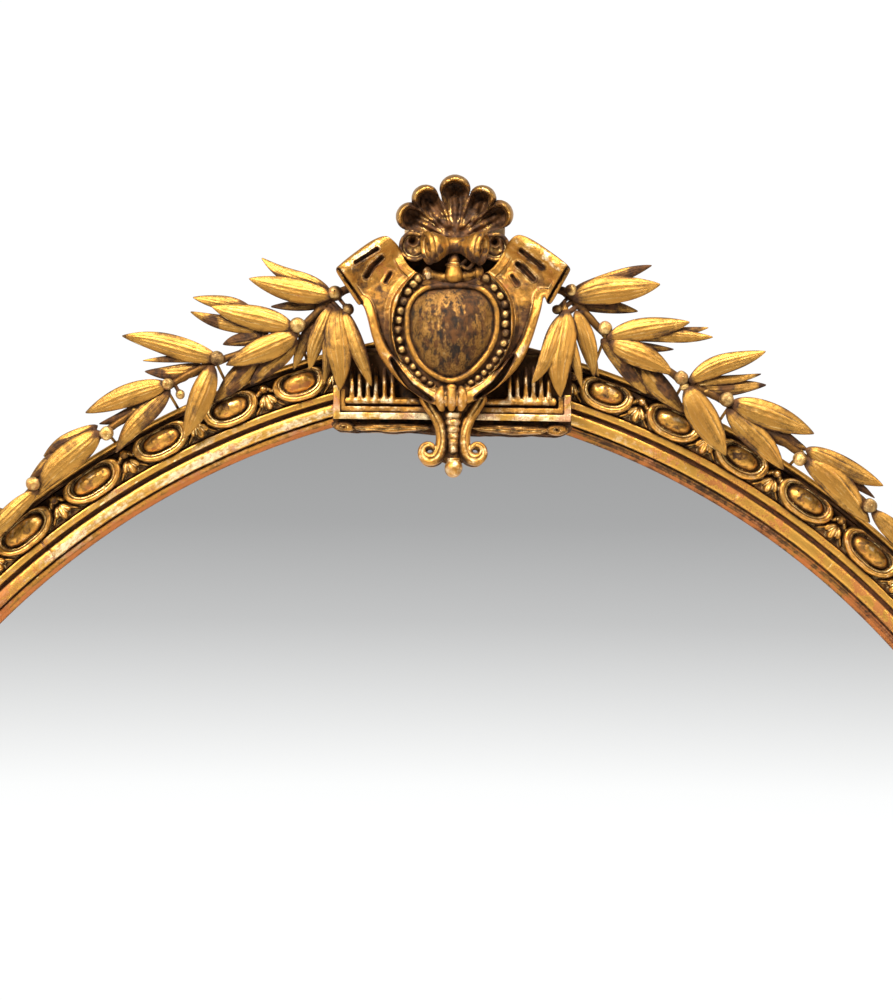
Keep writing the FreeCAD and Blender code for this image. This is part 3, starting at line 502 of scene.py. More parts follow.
def metal(name, col, rough, rust, scale=300):
    m, nt, bs = nodes_of(name)
    n = N(nt)
    co = n.new("ShaderNodeTexCoord").outputs["Object"]
    a, b = n.noise(co, scale, 5, 0.6), n.noise(co, scale * 6, 3, 0.6)
    t = n.maprange(n.math("ADD", n.math("MULTIPLY", a, 0.7), n.math("MULTIPLY", b, 0.3)), 0.42, 0.66)
    n.put(bs.inputs["Base Color"], n.mix(t, col, rust))
    n.put(bs.inputs["Metallic"], n.maprange(t, 0, 1, 0.95, 0.45))
    n.put(bs.inputs["Roughness"], n.maprange(t, 0, 1, rough, rough + 0.3))
    bp = n.new("ShaderNodeBump")
    bp.inputs["Strength"].default_value = 0.3
    bp.inputs["Distance"].default_value = 0.0003
    n.put(bp.inputs["Height"], n.math("ADD", a, b))
    n.put(bs.inputs["Normal"], bp.outputs[0])
    return m


M_EGG = gilt("gilt_eggs", mid=(0.59, 0.300, 0.060), light=(0.97, 0.74, 0.33), grime=0.75, wear=0.25, speck=0.8, ao_d=0.009)
M_LEAF = gilt("gilt_leaves", mid=(0.39, 0.203, 0.043), light=(0.70, 0.49, 0.20), grime=0.70, wear=0.12, rough=0.42, ao_d=0.022, speck=1.0, edge=0.30, bump=0.5)
M_BEADS = gilt("gilt_beads", mid=(0.36, 0.19, 0.045), light=(0.60, 0.38, 0.13), grime=0.9, wear=0.15, rough=0.42, ao_d=0.010, edge=0.15)
M_CREST = gilt("gilt_crest", mid=(0.43, 0.21, 0.042), light=(0.86, 0.61, 0.24), grime=0.85, wear=0.16, ao_d=0.012, speck=1.0, rough=0.40, bump=0.6)
M_SHELL = gilt("gilt_shell", mid=(0.40, 0.21, 0.050), light=(0.74, 0.52, 0.20), grime=1.2, wear=0.20, ao_d=0.020, speck=1.1)
M_BOSS = gilt("gilt_boss", mid=(0.24, 0.128, 0.036), light=(0.45, 0.34, 0.19), dark=(0.014, 0.008, 0.004), grime=0.9, wear=0.05, speck=3.4, rough=0.52, streak=(1, 1, 0.55))
M_BAND = gilt("gilt_band", mid=(0.58, 0.31, 0.060), light=(1.0, 0.82, 0.42), grime=0.45, wear=0.42, ao_d=0.006, rough=0.40, speck=0.6)
M_SIGHT = gilt("gilt_sight", mid=(0.50, 0.235, 0.045), light=(0.92, 0.66, 0.26), bole=(0.34, 0.085, 0.022), grime=0.7, wear=0.50, ao_d=0.006, rough=0.42, speck=1.2)
M_STEM = gilt("gilt_stem", mid=(0.15, 0.072, 0.018), light=(0.34, 0.19, 0.05), grime=1.2, wear=0.1, rough=0.5)
# near-black gilt: painted shade for the board and the tablet that lie in shadow behind the cartouche
M_PAINTED_SHADE = gilt("gilt_painted_shade", mid=(0.040, 0.020, 0.009), light=(0.10, 0.055, 0.02), dark=(0.006, 0.004, 0.003), grime=1.2, wear=0.1, rough=0.65)
M_PINE = wood("pine_old", (0.40, 0.25, 0.12), (0.62, 0.43, 0.23), "Z")
M_PINEX = wood("pine_old_x", (0.40, 0.25, 0.12), (0.62, 0.43, 0.23), "X")
M_BOARDS = [wood("board_old_%d" % i, tuple(k * c for c in (0.22, 0.135, 0.07)), tuple(k * c for c in (0.38, 0.25, 0.14)), "X", ring=18 + 3 * i) for i, k in enumerate((1.0, 0.80, 1.12, 0.88, 1.04))]
M_OAK = wood("oak", (0.25, 0.15, 0.07), (0.42, 0.28, 0.15), "X")
M_BRASS = metal("brass_dull", (0.62, 0.42, 0.15), 0.32, (0.20, 0.12, 0.05))
M_STEEL = metal("steel_dull", (0.40, 0.38, 0.36), 0.38, (0.16, 0.08, 0.045))
M_IRON = metal("iron_wire", (0.16, 0.14, 0.13), 0.45, (0.10, 0.045, 0.02))


def mirror_glass():
    m, nt, bs = nodes_of("mirror_glass")
    n = N(nt)
    co = n.new("ShaderNodeTexCoord").outputs["Object"]
    a = n.noise(co, 260, 4, 0.7)
    b = n.noise(co, 2.2, 3, 0.5)
    spots = n.maprange(a, 0.74, 0.79)
    n.put(bs.inputs["Base Color"], n.mix(n.math("MULTIPLY", spots, 0.35), (0.955, 0.962, 0.960), (0.42, 0.40, 0.36)))
    n.put(bs.inputs["Metallic"], n.math("SUBTRACT", 1.0, n.math("MULTIPLY", spots, 0.3)))
    n.put(bs.inputs["Roughness"], n.math("ADD", n.math("MULTIPLY", spots, 0.3), n.maprange(b, 0.3, 0.7, 0.0, 0.012)))
    return m


M_MIRROR = mirror_glass()

# ------------------------------------------------------------------ light
world = bpy.data.worlds.new("studio")
scn.world = world
world.use_nodes = True
wt = world.node_tree
for q in list(wt.nodes):
    wt.nodes.remove(q)
wn = N(wt)
wo = wn.new("ShaderNodeOutputWorld")
bg = wn.new("ShaderNodeBackground")
wt.links.new(bg.outputs[0], wo.inputs[0])
tc = wn.new("ShaderNodeTexCoord").outputs["Generated"]
sep = wn.new("ShaderNodeSeparateXYZ")
wn.put(sep.inputs[0], tc)
sx, sy, sz = sep.outputs
# behind the frame: white. In front: grey above the horizon, fading to white below it
front = wn.ramp(wn.maprange(sz, -0.5, 0.5, 0.0, 1.0, smooth=False),
                [(0.0, (1.06, 1.06, 1.06)), (0.345, (1.08, 1.08, 1.08)), (0.372, (1.03, 1.03, 1.03)), (0.405, (0.83, 0.83, 0.83)), (0.445, (0.585, 0.585, 0.587)),
                 (0.49, (0.415, 0.415, 0.418)), (0.53, (0.365, 0.365, 0.368)), (0.60, (0.34, 0.34, 0.34)), (0.75, (0.22, 0.22, 0.22)), (1.0, (0.30, 0.30, 0.30))])
back = wn.ramp(wn.maprange(sz, -1.0, 1.0, 0.0, 1.0, smooth=False),
               [(0.0, (0.8, 0.8, 0.8)), (0.3, (1.02, 1.02, 1.02)), (0.68, (1.02, 1.02, 1.02)), (0.82, (0.5, 0.5, 0.5)), (1.0, (0.35, 0.35, 0.35))])
# the room beside and above the strip of wall that the glass shows: dim, with a broad bright ceiling
room = wn.ramp(wn.maprange(sz, -1.0, 1.0, 0.0, 1.0, smooth=False),
               [(0.0, (0.16, 0.16, 0.16)), (0.34, (0.10, 0.10, 0.10)), (0.50, (0.085, 0.08, 0.075)), (0.60, (0.13, 0.125, 0.12)), (0.70, (0.50, 0.49, 0.47)), (0.86, (0.85, 0.83, 0.80)), (1.0, (0.60, 0.59, 0.57))])
strip = wn.math("MULTIPLY", wn.maprange(wn.math("ABSOLUTE", sx), 0.34, 0.25), wn.maprange(sz, 0.20, 0.10))
front = wn.mix(strip, room, front)
wcol = wn.mix(wn.maprange(sy, -0.04, 0.04), front, back)
wn.put(bg.inputs["Color"], wcol)
bg.inputs["Strength"].default_value = 1.0


def area(name, loc, target, size, power, col=(1, 1, 1), size_y=None):
    l = bpy.data.lights.new(name, "AREA")
    l.energy = power
    l.color = col
    l.shape = "RECTANGLE" if size_y else "SQUARE"
    l.size = size
    if size_y:
        l.size_y = size_y
    o = bpy.data.objects.new(name, l)
    scn.collection.objects.link(o)
    o.location = loc
    import mathutils
    d = mathutils.Vector(target) - mathutils.Vector(loc)
    o.rotation_euler = d.to_track_quat("-Z", "Y").to_euler()
    return o


area("key", (-1.7, -2.6, 3.6), (0, 0, 1.75), 0.8, 195, (1.0, 0.97, 0.92))
area("top", (0.4, -1.1, 3.7), (0, 0, 1.8), 0.6, 75, (1.0, 0.98, 0.95), 0.4)
area("side", (2.9, -1.9, 2.3), (0, 0, 1.7), 0.5, 60, (1.0, 0.95, 0.88), 1.4)
area("side_left", (-2.9, -1.2, 1.6), (0, 0, 1.6), 0.4, 26, (1.0, 0.97, 0.93), 1.6)

# ------------------------------------------------------------------ floor
fl = bpy.data.meshes.new("floor")
fl.from_pydata([(-4, -2.9, 0), (4, -2.9, 0), (4, 4.5, 0), (-4, 4.5, 0)], [], [(0, 1, 2, 3)])
flo = bpy.data.objects.new("floor", fl)
scn.collection.objects.link(flo)
fm, fnt, fbs = nodes_of("floor")
fbs.inputs["Base Color"].default_value = (0.86, 0.86, 0.85, 1)
fbs.inputs["Roughness"].default_value = 0.75
fl.materials.append(fm)

# ------------------------------------------------------------------ mouldings swept round the frame
def arc_xz(r, ang):
    R = R_SIGHT + r
    return C_OFF - R * math.cos(ang), Z_SPRING + R * math.sin(ang)


def frame_path(r, n_st, n_arc):
    """Left side, from the bottom mitre up the stile and round to the middle of the arch, for the line r outside the sight edge."""
    z0 = W_MOULD - r
    zs = np.linspace(z0, Z_SPRING, n_st + 1)
    R = R_SIGHT + r
    am = math.acos(C_OFF / R)
    an = np.linspace(0, am, n_arc + 1)[1:]
    x = np.concatenate([np.full(n_st + 1, C_OFF - R), C_OFF - R * np.cos(an)])
    z = np.concatenate([zs, Z_SPRING + R * np.sin(an)])
    return x, z


def roundprof(pts, rad, seg=3):
    """Profile polygon with its corners rounded."""
    P = np.asarray(pts, float)
    n = len(P)
    out = []
    for i in range(n):
        a, b, c = P[i - 1], P[i], P[(i + 1) % n]
        r = rad[i] if hasattr(rad, "__len__") else rad
        la, lc = np.linalg.norm(a - b), np.linalg.norm(c - b)
        k = min(r, 0.45 * la, 0.45 * lc)
        if k < 0.02:
            out.append(b)
            continue
        p, q = b + (a - b) * k / la, b + (c - b) * k / lc
        for t in np.linspace(0, 1, seg + 1):
            out.append((1 - t) ** 2 * p + 2 * t * (1 - t) * b + t * t * q)
    return np.array(out)


def tint(r, x, z, side=-1):
    """Painted shade in the grooves and in the hollow behind the egg course, dirt, bare clay, and pale leaf that is
    partly rubbed wear and partly painted highlight, along the sight moulding, by distance outside the sight edge.
    """
    g = np.exp(-((r - 24.1) / 1.7) ** 2)
    # painted shade in the groove at r 24, the quirk at r 9.6 and the hollow at r 64 to 67; thin dark lines at r 4.2,
    # and at r 6.6 on the right
    d = 0.75 * g + 0.8 * np.exp(-((r - 9.6) / 0.7) ** 2) + 0.55 * ((r > 63.9) & (r < 66.9))
    e = noise(x + 900 * side, z, r, 30) - 0.5
    f = noise(x + 500 * side, z, r * 3, 4.0) - 0.5
    low = step(-360, -440, x)
    d = d + (0.08 if side < 0 else 0.34) * (r < 9) * (0.8 + 0.5 * f + 0.5 * e) + 0.5 * np.exp(-((r - 4.2) / 0.5) ** 2) + (0.0 if side < 0 else 0.45) * np.exp(-((r - 6.6) / 0.4) ** 2)
    org = 0.0 if side < 0 else 0.40 * np.exp(-((x + 285) / 50.0) ** 2)
    red = 0.9 * g + org * ((r > 10) & (r < 22)) + np.where(r < 3.8, 0.80 + 1.0 * e, 0) + np.where((r >= 3.8) & (r < 9), 0.02 + 0.45 * low + 0.9 * e, 0) + np.where((r > 10) & (r < 22), 0.02 + 0.35 * low + 0.7 * e, 0)
    # painted highlight with rubbed pale leaf on the band: full on the left side, on the right only near the top of the
    # arch, weaker lower down
    hi = 1.0 if side < 0 else 0.55 * step(-330, -200, x)
    band = np.exp(-((r - 14.5) / 5.0) ** 2) * ((r > 10.2) & (r < 22.4))
    pl = hi * band * (0.78 - 0.55 * low + 0.9 * e + 0.8 * f) + hi * 0.38 * ((r > 26) & (r < 33.2)) * (0.8 + 1.6 * e) + 0.40 * ((r > 4.5) & (r < 8.8)) * (0.6 + 2.0 * e + 1.2 * f)
    return d, red, np.clip(pl, 0, 1)


def sweep_side(name, prof, mats, mat_of, node, slot, side, n_st=70, n_arc=230, wob=0.18, marks=()):
    """prof: closed loop of (r, d)."""
    n = len(prof)
    cols = [frame_path(r, n_st, n_arc) for r, d in prof]
    X = np.array([c[0] for c in cols])
    Z = np.array([c[1] for c in cols])
    m = X.shape[1]
    D = np.repeat(prof[:, 1][:, None], m, 1)
    Rr = np.repeat(prof[:, 0][:, None], m, 1)
    s = np.broadcast_to(np.arange(m)[None, :] * 5.0, D.shape)
    hand = side * 3.7 + 11
    w = (noise(X + 50 * hand, Z, Rr, 26) - 0.5) * wob * 2 + (noise(X * 1.0 + 9 * hand, Z, Rr * 4, 7.0) - 0.5) * wob * 1.1
    lift = np.clip(D / 4.0, 0, 1)
    Dn = np.clip(D + w * lift, 0, None)
    for ang, width, depth, r0, r1 in marks:
        # open joints, dents and a filled repair across the mouldings
        A = np.arctan2(Z - Z_SPRING, C_OFF - X)
        arc = (A - ang) * (R_SIGHT + 30)
        g = np.exp(-(arc / width) ** 2) * ((Rr >= r0) & (Rr <= r1)) * lift
        Dn = np.clip(Dn - depth * g, 0, None)
    V = np.stack([X * (1 if side < 0 else -1), Y_FACE - Dn, Z], -1).reshape(-1, 3)
    i = np.arange(n)[:, None]
    j = np.arange(m - 1)[None, :]
    a = i * m + j
    b = ((i + 1) % n) * m + j
    Q = np.stack([a, b, b + 1, a + 1], -1).reshape(-1, 4)
    mi = np.repeat([mat_of(0.5 * (prof[k][0] + prof[(k + 1) % n][0])) for k in range(n)], m - 1)
    cap0 = np.arange(n) * m
    cap1 = cap0[::-1] + m - 1
    if side > 0:
        Q = Q[:, ::-1]
        cap0, cap1 = cap0[::-1], cap1[::-1]
    dk, rd, pl = tint(Rr, X, Z, side)
    return make(name, V, [Q, cap0[::-1][None, :], cap1[::-1][None, :]], mats, node=node, slot=slot,
                mat_index=np.concatenate([mi, [0, 0]]), dark=dk, red=rd, pale=pl)


def sweep_bottom(name, prof, mats, mat_of, node, slot, wob=0.18, m=260):
    n = len(prof)
    t = np.linspace(-1, 1, m)[None, :]
    half = (R_SIGHT - C_OFF + prof[:, 0])[:, None]
    X = half * t
    Z = np.repeat((W_MOULD - prof[:, 0])[:, None], m, 1)
    D = np.repeat(prof[:, 1][:, None], m, 1)
    w = (noise(X, Z + 300, D, 26) - 0.5) * wob * 2 + (noise(X, Z * 4 + 90, D, 7) - 0.5) * wob * 1.1
    Dn = np.clip(D + w * np.clip(D / 4, 0, 1), 0, None)
    V = np.stack([X, Y_FACE - Dn, Z], -1).reshape(-1, 3)
    i = np.arange(n)[:, None]
    j = np.arange(m - 1)[None, :]
    a = i * m + j
    b = ((i + 1) % n) * m + j
    Q = np.stack([a, a + 1, b + 1, b], -1).reshape(-1, 4)
    mi = np.repeat([mat_of(0.5 * (prof[k][0] + prof[(k + 1) % n][0])) for k in range(n)], m - 1)
    cap0 = np.arange(n) * m
    cap1 = cap0[::-1] + m - 1
    dk, rd, pl = tint(np.repeat(prof[:, 0][:, None], m, 1), X, Z)
    return make(name, V, [Q, cap0[None, :], cap1[None, :]], mats, node=node, slot=slot, mat_index=np.concatenate([mi, [0, 0]]), dark=dk, red=rd, pale=pl)


SEC_SIGHT = [(0, 0), (0, 3.5), (3.5, 5.6), (7.2, 8.4), (8.5, 8.6), (9.1, 6.6), (10.0, 6.8), (10.4, 12.2), (12.5, 13.6), (16, 14.0), (20, 13.7), (22.0, 12.4),
             (22.7, 8.2), (25.5, 8.2), (26.3, 15.6), (28, 16.4), (31.5, 17.0), (33, 16.2), (33, 0)]
RAD_SIGHT = [0, 0.8, 1.5, 1.0, 0.5, 0.5, 0.5, 0.9, 1.2, 2, 2, 1.0, 0.6, 0.6, 0.9, 1.0, 1.2, 0.8, 0]
SEC_FILLET = [(64, 0), (64, 12.4), (66.2, 12.8), (66.8, 18.6), (68.2, 21.4), (70.6, 21.8), (72.1, 20.4), (72.5, 18.5), (72.5, 0)]
RAD_FILLET = [0, 0.3, 0.5, 0.9, 0.9, 0.9, 0.8, 0.6, 0]
p_sight = roundprof(SEC_SIGHT, RAD_SIGHT)
p_fil = roundprof(SEC_FILLET, RAD_FILLET)
MATS_S = [M_BAND, M_SIGHT]
of_sight = lambda r: 1 if r < 9.6 else 0
JT = math.radians(50.6)
marks_l = [(JT, 1.3, 2.6, 9.5, 33), (JT + 0.012, 3.0, 0.7, 10, 22), (math.radians(64), 2.0, 0.8, 10, 22), (math.radians(71.5), 1.2, 0.7, 26, 33)]
marks_r = [(JT, 0.6, 0.7, 9.5, 33), (math.radians(59), 1.6, 0.8, 10, 22), (math.radians(69), 2.4, 0.7, 26, 33)]
for sd, nmn, mk in ((-1, "left", marks_l), (1, "right", marks_r)):
    sweep_side("sight_moulding_" + nmn, p_sight, MATS_S, of_sight, nmn + "_sight_moulding", "worn_gilt", sd, marks=mk, n_arc=1050)
    sweep_side("outer_fillet_" + nmn, p_fil, [M_EGG], lambda r: 0, nmn + "_outer_fillet", "aged_gilt", sd, n_arc=300)
sweep_bottom("sight_moulding_foot", p_sight, MATS_S, of_sight, "bottom_sight_moulding", "worn_gilt")
sweep_bottom("outer_fillet_foot", p_fil, [M_EGG], lambda r: 0, "bottom_outer_fillet", "aged_gilt")


# ------------------------------------------------------------------ egg and shell-leaf moulding
def egg_relief(s, r, pitch, seed):
    """Height over the back of the moulding; s is measured from the middle of an egg, r outside the sight edge."""
    rs = np.random.RandomState(seed)
    k1, k2, k3, k4 = rs.uniform(-1, 1, 4)
    sc = pitch / 75.0
    half = pitch / 2
    # ground of the moulding, hollow, lowest by the outer edge
    H = 8.6 + 3.4 * step(62, 36, r)
    # the cup: open towards the outer edge
    a_o, b_o, rc = 29.4 * sc + 0.4 * k1, 19.2, 52.0
    low = r < rc
    rad = np.sqrt(s ** 2 + (r - rc) ** 2) + 1e-3
    q = np.sqrt((s / a_o) ** 2 + ((r - rc) / b_o) ** 2) + 1e-4
    q2 = ((np.abs(s) / a_o) ** 2.5 + (np.abs(r - rc) / 13.6) ** 2.5) ** 0.4 + 1e-4
    e2 = rad * (1 / q2 - 1) * (1 + 1.2 * np.clip((r - rc) / 13.6, 0, 1) * (1 - np.clip(np.abs(s) / a_o, 0, 1) ** 2))
    e = np.where(low, rad * (1 / q - 1), e2)          # distance inside the cup's outer edge
    top = step(64.2, 63.2, r)
    band = 14.5 + 7.4 * hump(np.clip(e - 3.4, -3.4, 3.4), 3.9)
    cup = np.where(e < 6.8, band, np.where(e < 8.6, 17.6 + 0.8 * hump(np.clip(e - 7.7, -0.9, 0.9), 1.2), 13.2))
    H = np.where(e > -0.3, H + (cup - H) * step(-0.5, 0.4, e) * (0.55 + 0.45 * top), H)
    # thin rim over the egg
        # the egg
    ax, bx, cr = a_o - 9.8 + 0.3 * k2, 10.2 + 0.3 * k3, 51.6
    tilt = 0.02 * k1
    ss, rr = s + tilt * (r - cr), r - cr - tilt * s
    qe = np.sqrt((np.abs(ss) / ax) ** 2.25 + (np.abs(rr) / bx) ** 2.25)
    egg = 14.0 + 11.0 * np.clip(1 - qe ** 2.2, 0, 1) ** 0.60
    H = np.where(qe < 1, np.maximum(H, egg), H)
    # between two cups: bead, collar and a shell leaf of lobes
    for sg in (-1, 1):
        x = s - sg * half
        # crescents that follow the cups from below
        cr_ = step(2.0, 5.0, np.abs(x)) * step(18.0, 13.0, np.abs(x)) * step(50, 45, r)
        dc = np.abs(e + 2.9)
        H = np.where((dc < 2.0) & (cr_ > 0.02), np.maximum(H, 10.5 + 6.0 * hump(dc, 2.0) * cr_), H)
        # lobes
        for ang, ln, wd, hh in ((0.70, 14.0, 4.3, 7.2), (-0.70, 14.0, 4.3, 7.2), (0.0, 16.5, 4.8, 9.0)):
            cx, cy = math.sin(ang), -math.cos(ang)
            px_, py_ = x, r - 52.0
            t = (px_ * cx + py_ * cy) / ln
            w = (px_ * cy - py_ * cx)
            w = w - np.sign(ang) * 1.2 * np.clip(t, 0, 1.6) ** 2
            prof = np.clip(t, 0, 1) ** 0.85 * np.clip(1 - t, 0, 1) ** 0.38 * 1.95
            ww = wd * np.clip(prof, 0.02, None)
            hh_ = 12.5 + hh * hump(w, ww) * np.clip(prof, 0, 1) ** 0.4 - 1.3 * np.exp(-(w / 0.6) ** 2) * step(0.95, 0.7, t)
            H = np.where((t > 0) & (t < 1) & (np.abs(w) < ww), np.maximum(H, hh_), H)
        # little arms either side of the bead
        for a in (-1, 1):
            qa = np.sqrt(((x - a * 5.8) * 0.9 + a * (r - 54) * 0.35) ** 2 / 2.6 ** 2 + (r - 54.5) ** 2 / 4.2 ** 2)
            H = np.where(qa < 1, np.maximum(H, 13.0 + 6.0 * np.sqrt(np.clip(1 - qa ** 2, 0, 1))), H)
        # bead
        qb = np.sqrt(x ** 2 + (r - 57.3) ** 2) / 4.4
        H = np.where(qb < 1, np.maximum(H, 15.5 + 8.6 * np.sqrt(np.clip(1 - qb ** 2, 0, 1))), H)
    # worn, hand cut surface
    H = H + (noise(s + 37 * seed, r, 5 * seed, 4.2) - 0.5) * 0.55 + (noise(s + 11 * seed, r, seed, 1.8) - 0.5) * 0.25
    edge = np.minimum(step(33.0, 34.2, r), 0.4 + 0.6 * step(64.0, 63.0, r))
    return np.clip(H * (0.55 + 0.45 * edge), 3, 25.0)


# arc lengths of the egg centres from the middle of the arch, on the sight edge's radius
EGGS = {-1: [65.0, 131, 200, 272, 346, 427.5], 1: [82.0, 150, 217.5, 292, 361, 441]}
A_TOP = math.asin(C_OFF / R_SIGHT)
ARC_LEN = R_SIGHT * math.acos(C_OFF / R_SIGHT)


def egg_tint(H, x, z, r):
    """Darker on the low ground, painted shade in the hollow at the outer edge, worn brown patches on the tops of the
    eggs, redder on their inner sides (partly bare clay, partly painted shade), and pale leaf on their outer sides and
    on the high ridges, partly rubbed wear and partly painted highlight.
    """
    d = 0.85 * step(12.6, 10.6, H)
    top = step(20.5, 22.5, H) * step(44, 47, r) * step(60, 57, r)
    f = noise(x, z, 0 * x, 7) * 0.6 + noise(x, z, 0 * x + 3, 2.4) * 0.4
    d = d + 0.40 * top * step(0.44, 0.62, f)
    # painted shade in the hollow at the outer edge
    d = d + 0.6 * step(63.5, 63.95, r)
    # pale leaf on the outer sides of the egg tops and on the high ridges: partly rubbed wear, partly painted highlight
    pl = 0.55 * top * step(0.52, 0.40, f) * step(50, 54, r) + 0.34 * step(18.5, 21.0, H) * (1 - top)
    return d, 0.9 * top * step(54, 48, r) * noise(x, z, 0 * x + 9, 8), pl


def egg_strip(side, name, node):
    """Arch and stile lengths of one side. The line runs from the middle of the arch down to the bottom mitre."""
    first = EGGS[side]
    cs = [first[0] - 70] + list(first)
    total = ARC_LEN + Z_SPRING - (W_MOULD - 48)
    while cs[-1] < total + 40:
        cs.append(cs[-1] + 78.0)
    cs = np.array(cs)
    h_fine, h_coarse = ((0.62, 1.05))
    s_dense = np.arange(0, 600, h_fine)
    s_rest = np.arange(600, total + 30, h_coarse)
    S = np.concatenate([s_dense, s_rest])
    Rn = np.concatenate([[33.0], np.arange(33.35, 63.9, h_fine * 0.95), [64.0]])
    H = np.zeros((len(Rn), len(S)))
    mids = 0.5 * (cs[1:] + cs[:-1])
    which = np.searchsorted(mids, S)
    for i in range(len(cs)):
        m = which == i
        if not m.any():
            continue
        c = cs[i]
        lo_ = mids[i - 1] if i > 0 else c - 35
        hi_ = mids[i] if i < len(mids) else c + 39
        loc = S[m] - c
        pitch = np.where(loc < 0, 2 * (c - lo_), 2 * (hi_ - c))
        # both halves share the egg, each with its own pitch
        for sg in (-1, 1):
            mm = (loc < 0) if sg < 0 else (loc >= 0)
            if not mm.any():
                continue
            pt = 2 * (c - lo_) if sg < 0 else 2 * (hi_ - c)
            J = np.where(m)[0][mm]
            H[:, J] = egg_relief(loc[mm][None, :], Rn[:, None], pt, 100 + i * 7 + (0 if side < 0 else 500))
    # place: s along the sight edge's arc, then down the stile; at the foot the line is cut on the mitre
    SS, RR = np.meshgrid(S, Rn)
    ang = math.acos(C_OFF / R_SIGHT) - SS / R_SIGHT
    R = R_SIGHT + RR
    # near the middle every line stops on the centreline
    amax = np.arccos(C_OFF / R)
    a_ = np.minimum(np.clip(ang, 0, None), amax)
    X = np.where(SS <= ARC_LEN, C_OFF - R * np.cos(a_), C_OFF - R)
    Z = np.where(SS <= ARC_LEN, Z_SPRING + R * np.sin(a_), Z_SPRING - (SS - ARC_LEN))
    # the first column lies on the centreline
    X[:, 0] = 0.0
    Z[:, 0] = Z_SPRING + np.sqrt((R_SIGHT + Rn) ** 2 - C_OFF ** 2)
    zmit = W_MOULD - RR
    Z = np.maximum(Z, zmit)
    keepc = np.where((Z[0] > (W_MOULD - Rn[0]) + 1e-6))[0]
    last = keepc[-1] + 2
    last = max(last, np.where(Z[-1] > (W_MOULD - Rn[-1]) + 1e-6)[0][-1] + 2)
    last = min(last, X.shape[1])
    X, Z, H = X[:, :last], Z[:, :last], H[:, :last]
    n, m = X.shape
    top = np.stack([X * (1 if side < 0 else -1), Y_FACE - H, Z], -1).reshape(-1, 3)
    low0 = np.stack([X[0] * (1 if side < 0 else -1), np.full(m, Y_FACE), Z[0]], -1)
    low1 = np.stack([X[-1] * (1 if side < 0 else -1), np.full(m, Y_FACE), Z[-1]], -1)
    V = np.vstack([top, low0, low1])
    i = np.arange(n - 1)[:, None]
    j = np.arange(m - 1)[None, :]
    a = i * m + j
    Q = [np.stack([a, a + m, a + m + 1, a + 1], -1).reshape(-1, 4)]
    b0, b1 = n * m, n * m + m
    j = np.arange(m - 1)
    Q.append(np.stack([b0 + j, j, j + 1, b0 + j + 1], -1))
    Q.append(np.stack([(n - 1) * m + j, b1 + j, b1 + j + 1, (n - 1) * m + j + 1], -1))
    Q.append(np.stack([b1 + j, b0 + j, b0 + j + 1, b1 + j + 1], -1))
    Q = np.concatenate(Q)
    e0 = np.concatenate([[b0], np.arange(n) * m, [b1]])[::-1]
    e1 = np.concatenate([[b0 + m - 1], np.arange(n) * m + m - 1, [b1 + m - 1]])
    # the line runs downwards on the left: faces look to the front
    if side < 0:
        Q, e0, e1 = Q[:, ::-1], e0[::-1], e1[::-1]
    dk, rd, pl = egg_tint(H, X * side, Z, RR[:, :last])
    # dark 0.9 at the foot of both side walls: painted shade where the strip meets the frame
    z2 = np.zeros(2 * m) + 0.9
    return make(name, V, [Q, e0[None, :], e1[None, :]], M_EGG, node=node, slot="aged_gilt",
                dark=np.concatenate([dk.ravel(), z2]), red=np.concatenate([rd.ravel(), 0 * z2]), pale=np.concatenate([pl.ravel(), 0 * z2]))


egg_strip(-1, "egg_moulding_left", "left_egg_moulding")
egg_strip(1, "egg_moulding_right", "right_egg_moulding")


def egg_foot():
    h = 1.05
    Rn = np.concatenate([[33.0], np.arange(33.4, 63.9, h * 0.8), [64.0]])
    half = R_SIGHT - C_OFF
    n_e = 17
    pitch = 2 * (half + 48) / n_e
    S = np.arange(-(half + 64), half + 64.01, h)
    H = np.zeros((len(Rn), len(S)))
    k = np.round((S + (half + 48) - pitch / 2) / pitch).astype(int)
    for q in np.unique(k):
        m = k == q
        c = -(half + 48) + pitch / 2 + q * pitch
        H[:, m] = egg_relief((S[m] - c)[None, :], Rn[:, None], pitch, 900 + q)
    SS, RR = np.meshgrid(S, Rn)
    X = np.clip(SS, -(half + RR), half + RR)
    Z = W_MOULD - RR
    n, m = X.shape
    top = np.stack([X, Y_FACE - H, Z], -1).reshape(-1, 3)
    low0 = np.stack([X[0], np.full(m, Y_FACE), Z[0]], -1)
    low1 = np.stack([X[-1], np.full(m, Y_FACE), Z[-1]], -1)
    V = np.vstack([top, low0, low1])
    i = np.arange(n - 1)[:, None]
    j = np.arange(m - 1)[None, :]
    a = i * m + j
    b0, b1 = n * m, n * m + m
    Q = [np.stack([a, a + m, a + m + 1, a + 1], -1).reshape(-1, 4)]
    j = np.arange(m - 1)
    Q.append(np.stack([b0 + j, j, j + 1, b0 + j + 1], -1))
    Q.append(np.stack([(n - 1) * m + j, b1 + j, b1 + j + 1, (n - 1) * m + j + 1], -1))
    Q.append(np.stack([b1 + j, b0 + j, b0 + j + 1, b1 + j + 1], -1))
    Q = np.concatenate(Q)
    e0 = np.concatenate([[b0], np.arange(n) * m, [b1]])[::-1]
    e1 = np.concatenate([[b0 + m - 1], np.arange(n) * m + m - 1, [b1 + m - 1]])
    dk, rd, pl = egg_tint(H, X, Z, RR)
    # dark 0.9 at the foot of both side walls: painted shade where the strip meets the frame
    z2 = np.zeros(2 * m) + 0.9
    return make("egg_moulding_foot", V, [Q, e0[None, :], e1[None, :]], M_EGG, node="bottom_egg_moulding", slot="aged_gilt",
                dark=np.concatenate([dk.ravel(), z2]), red=np.concatenate([rd.ravel(), 0 * z2]), pale=np.concatenate([pl.ravel(), 0 * z2]))


egg_foot()


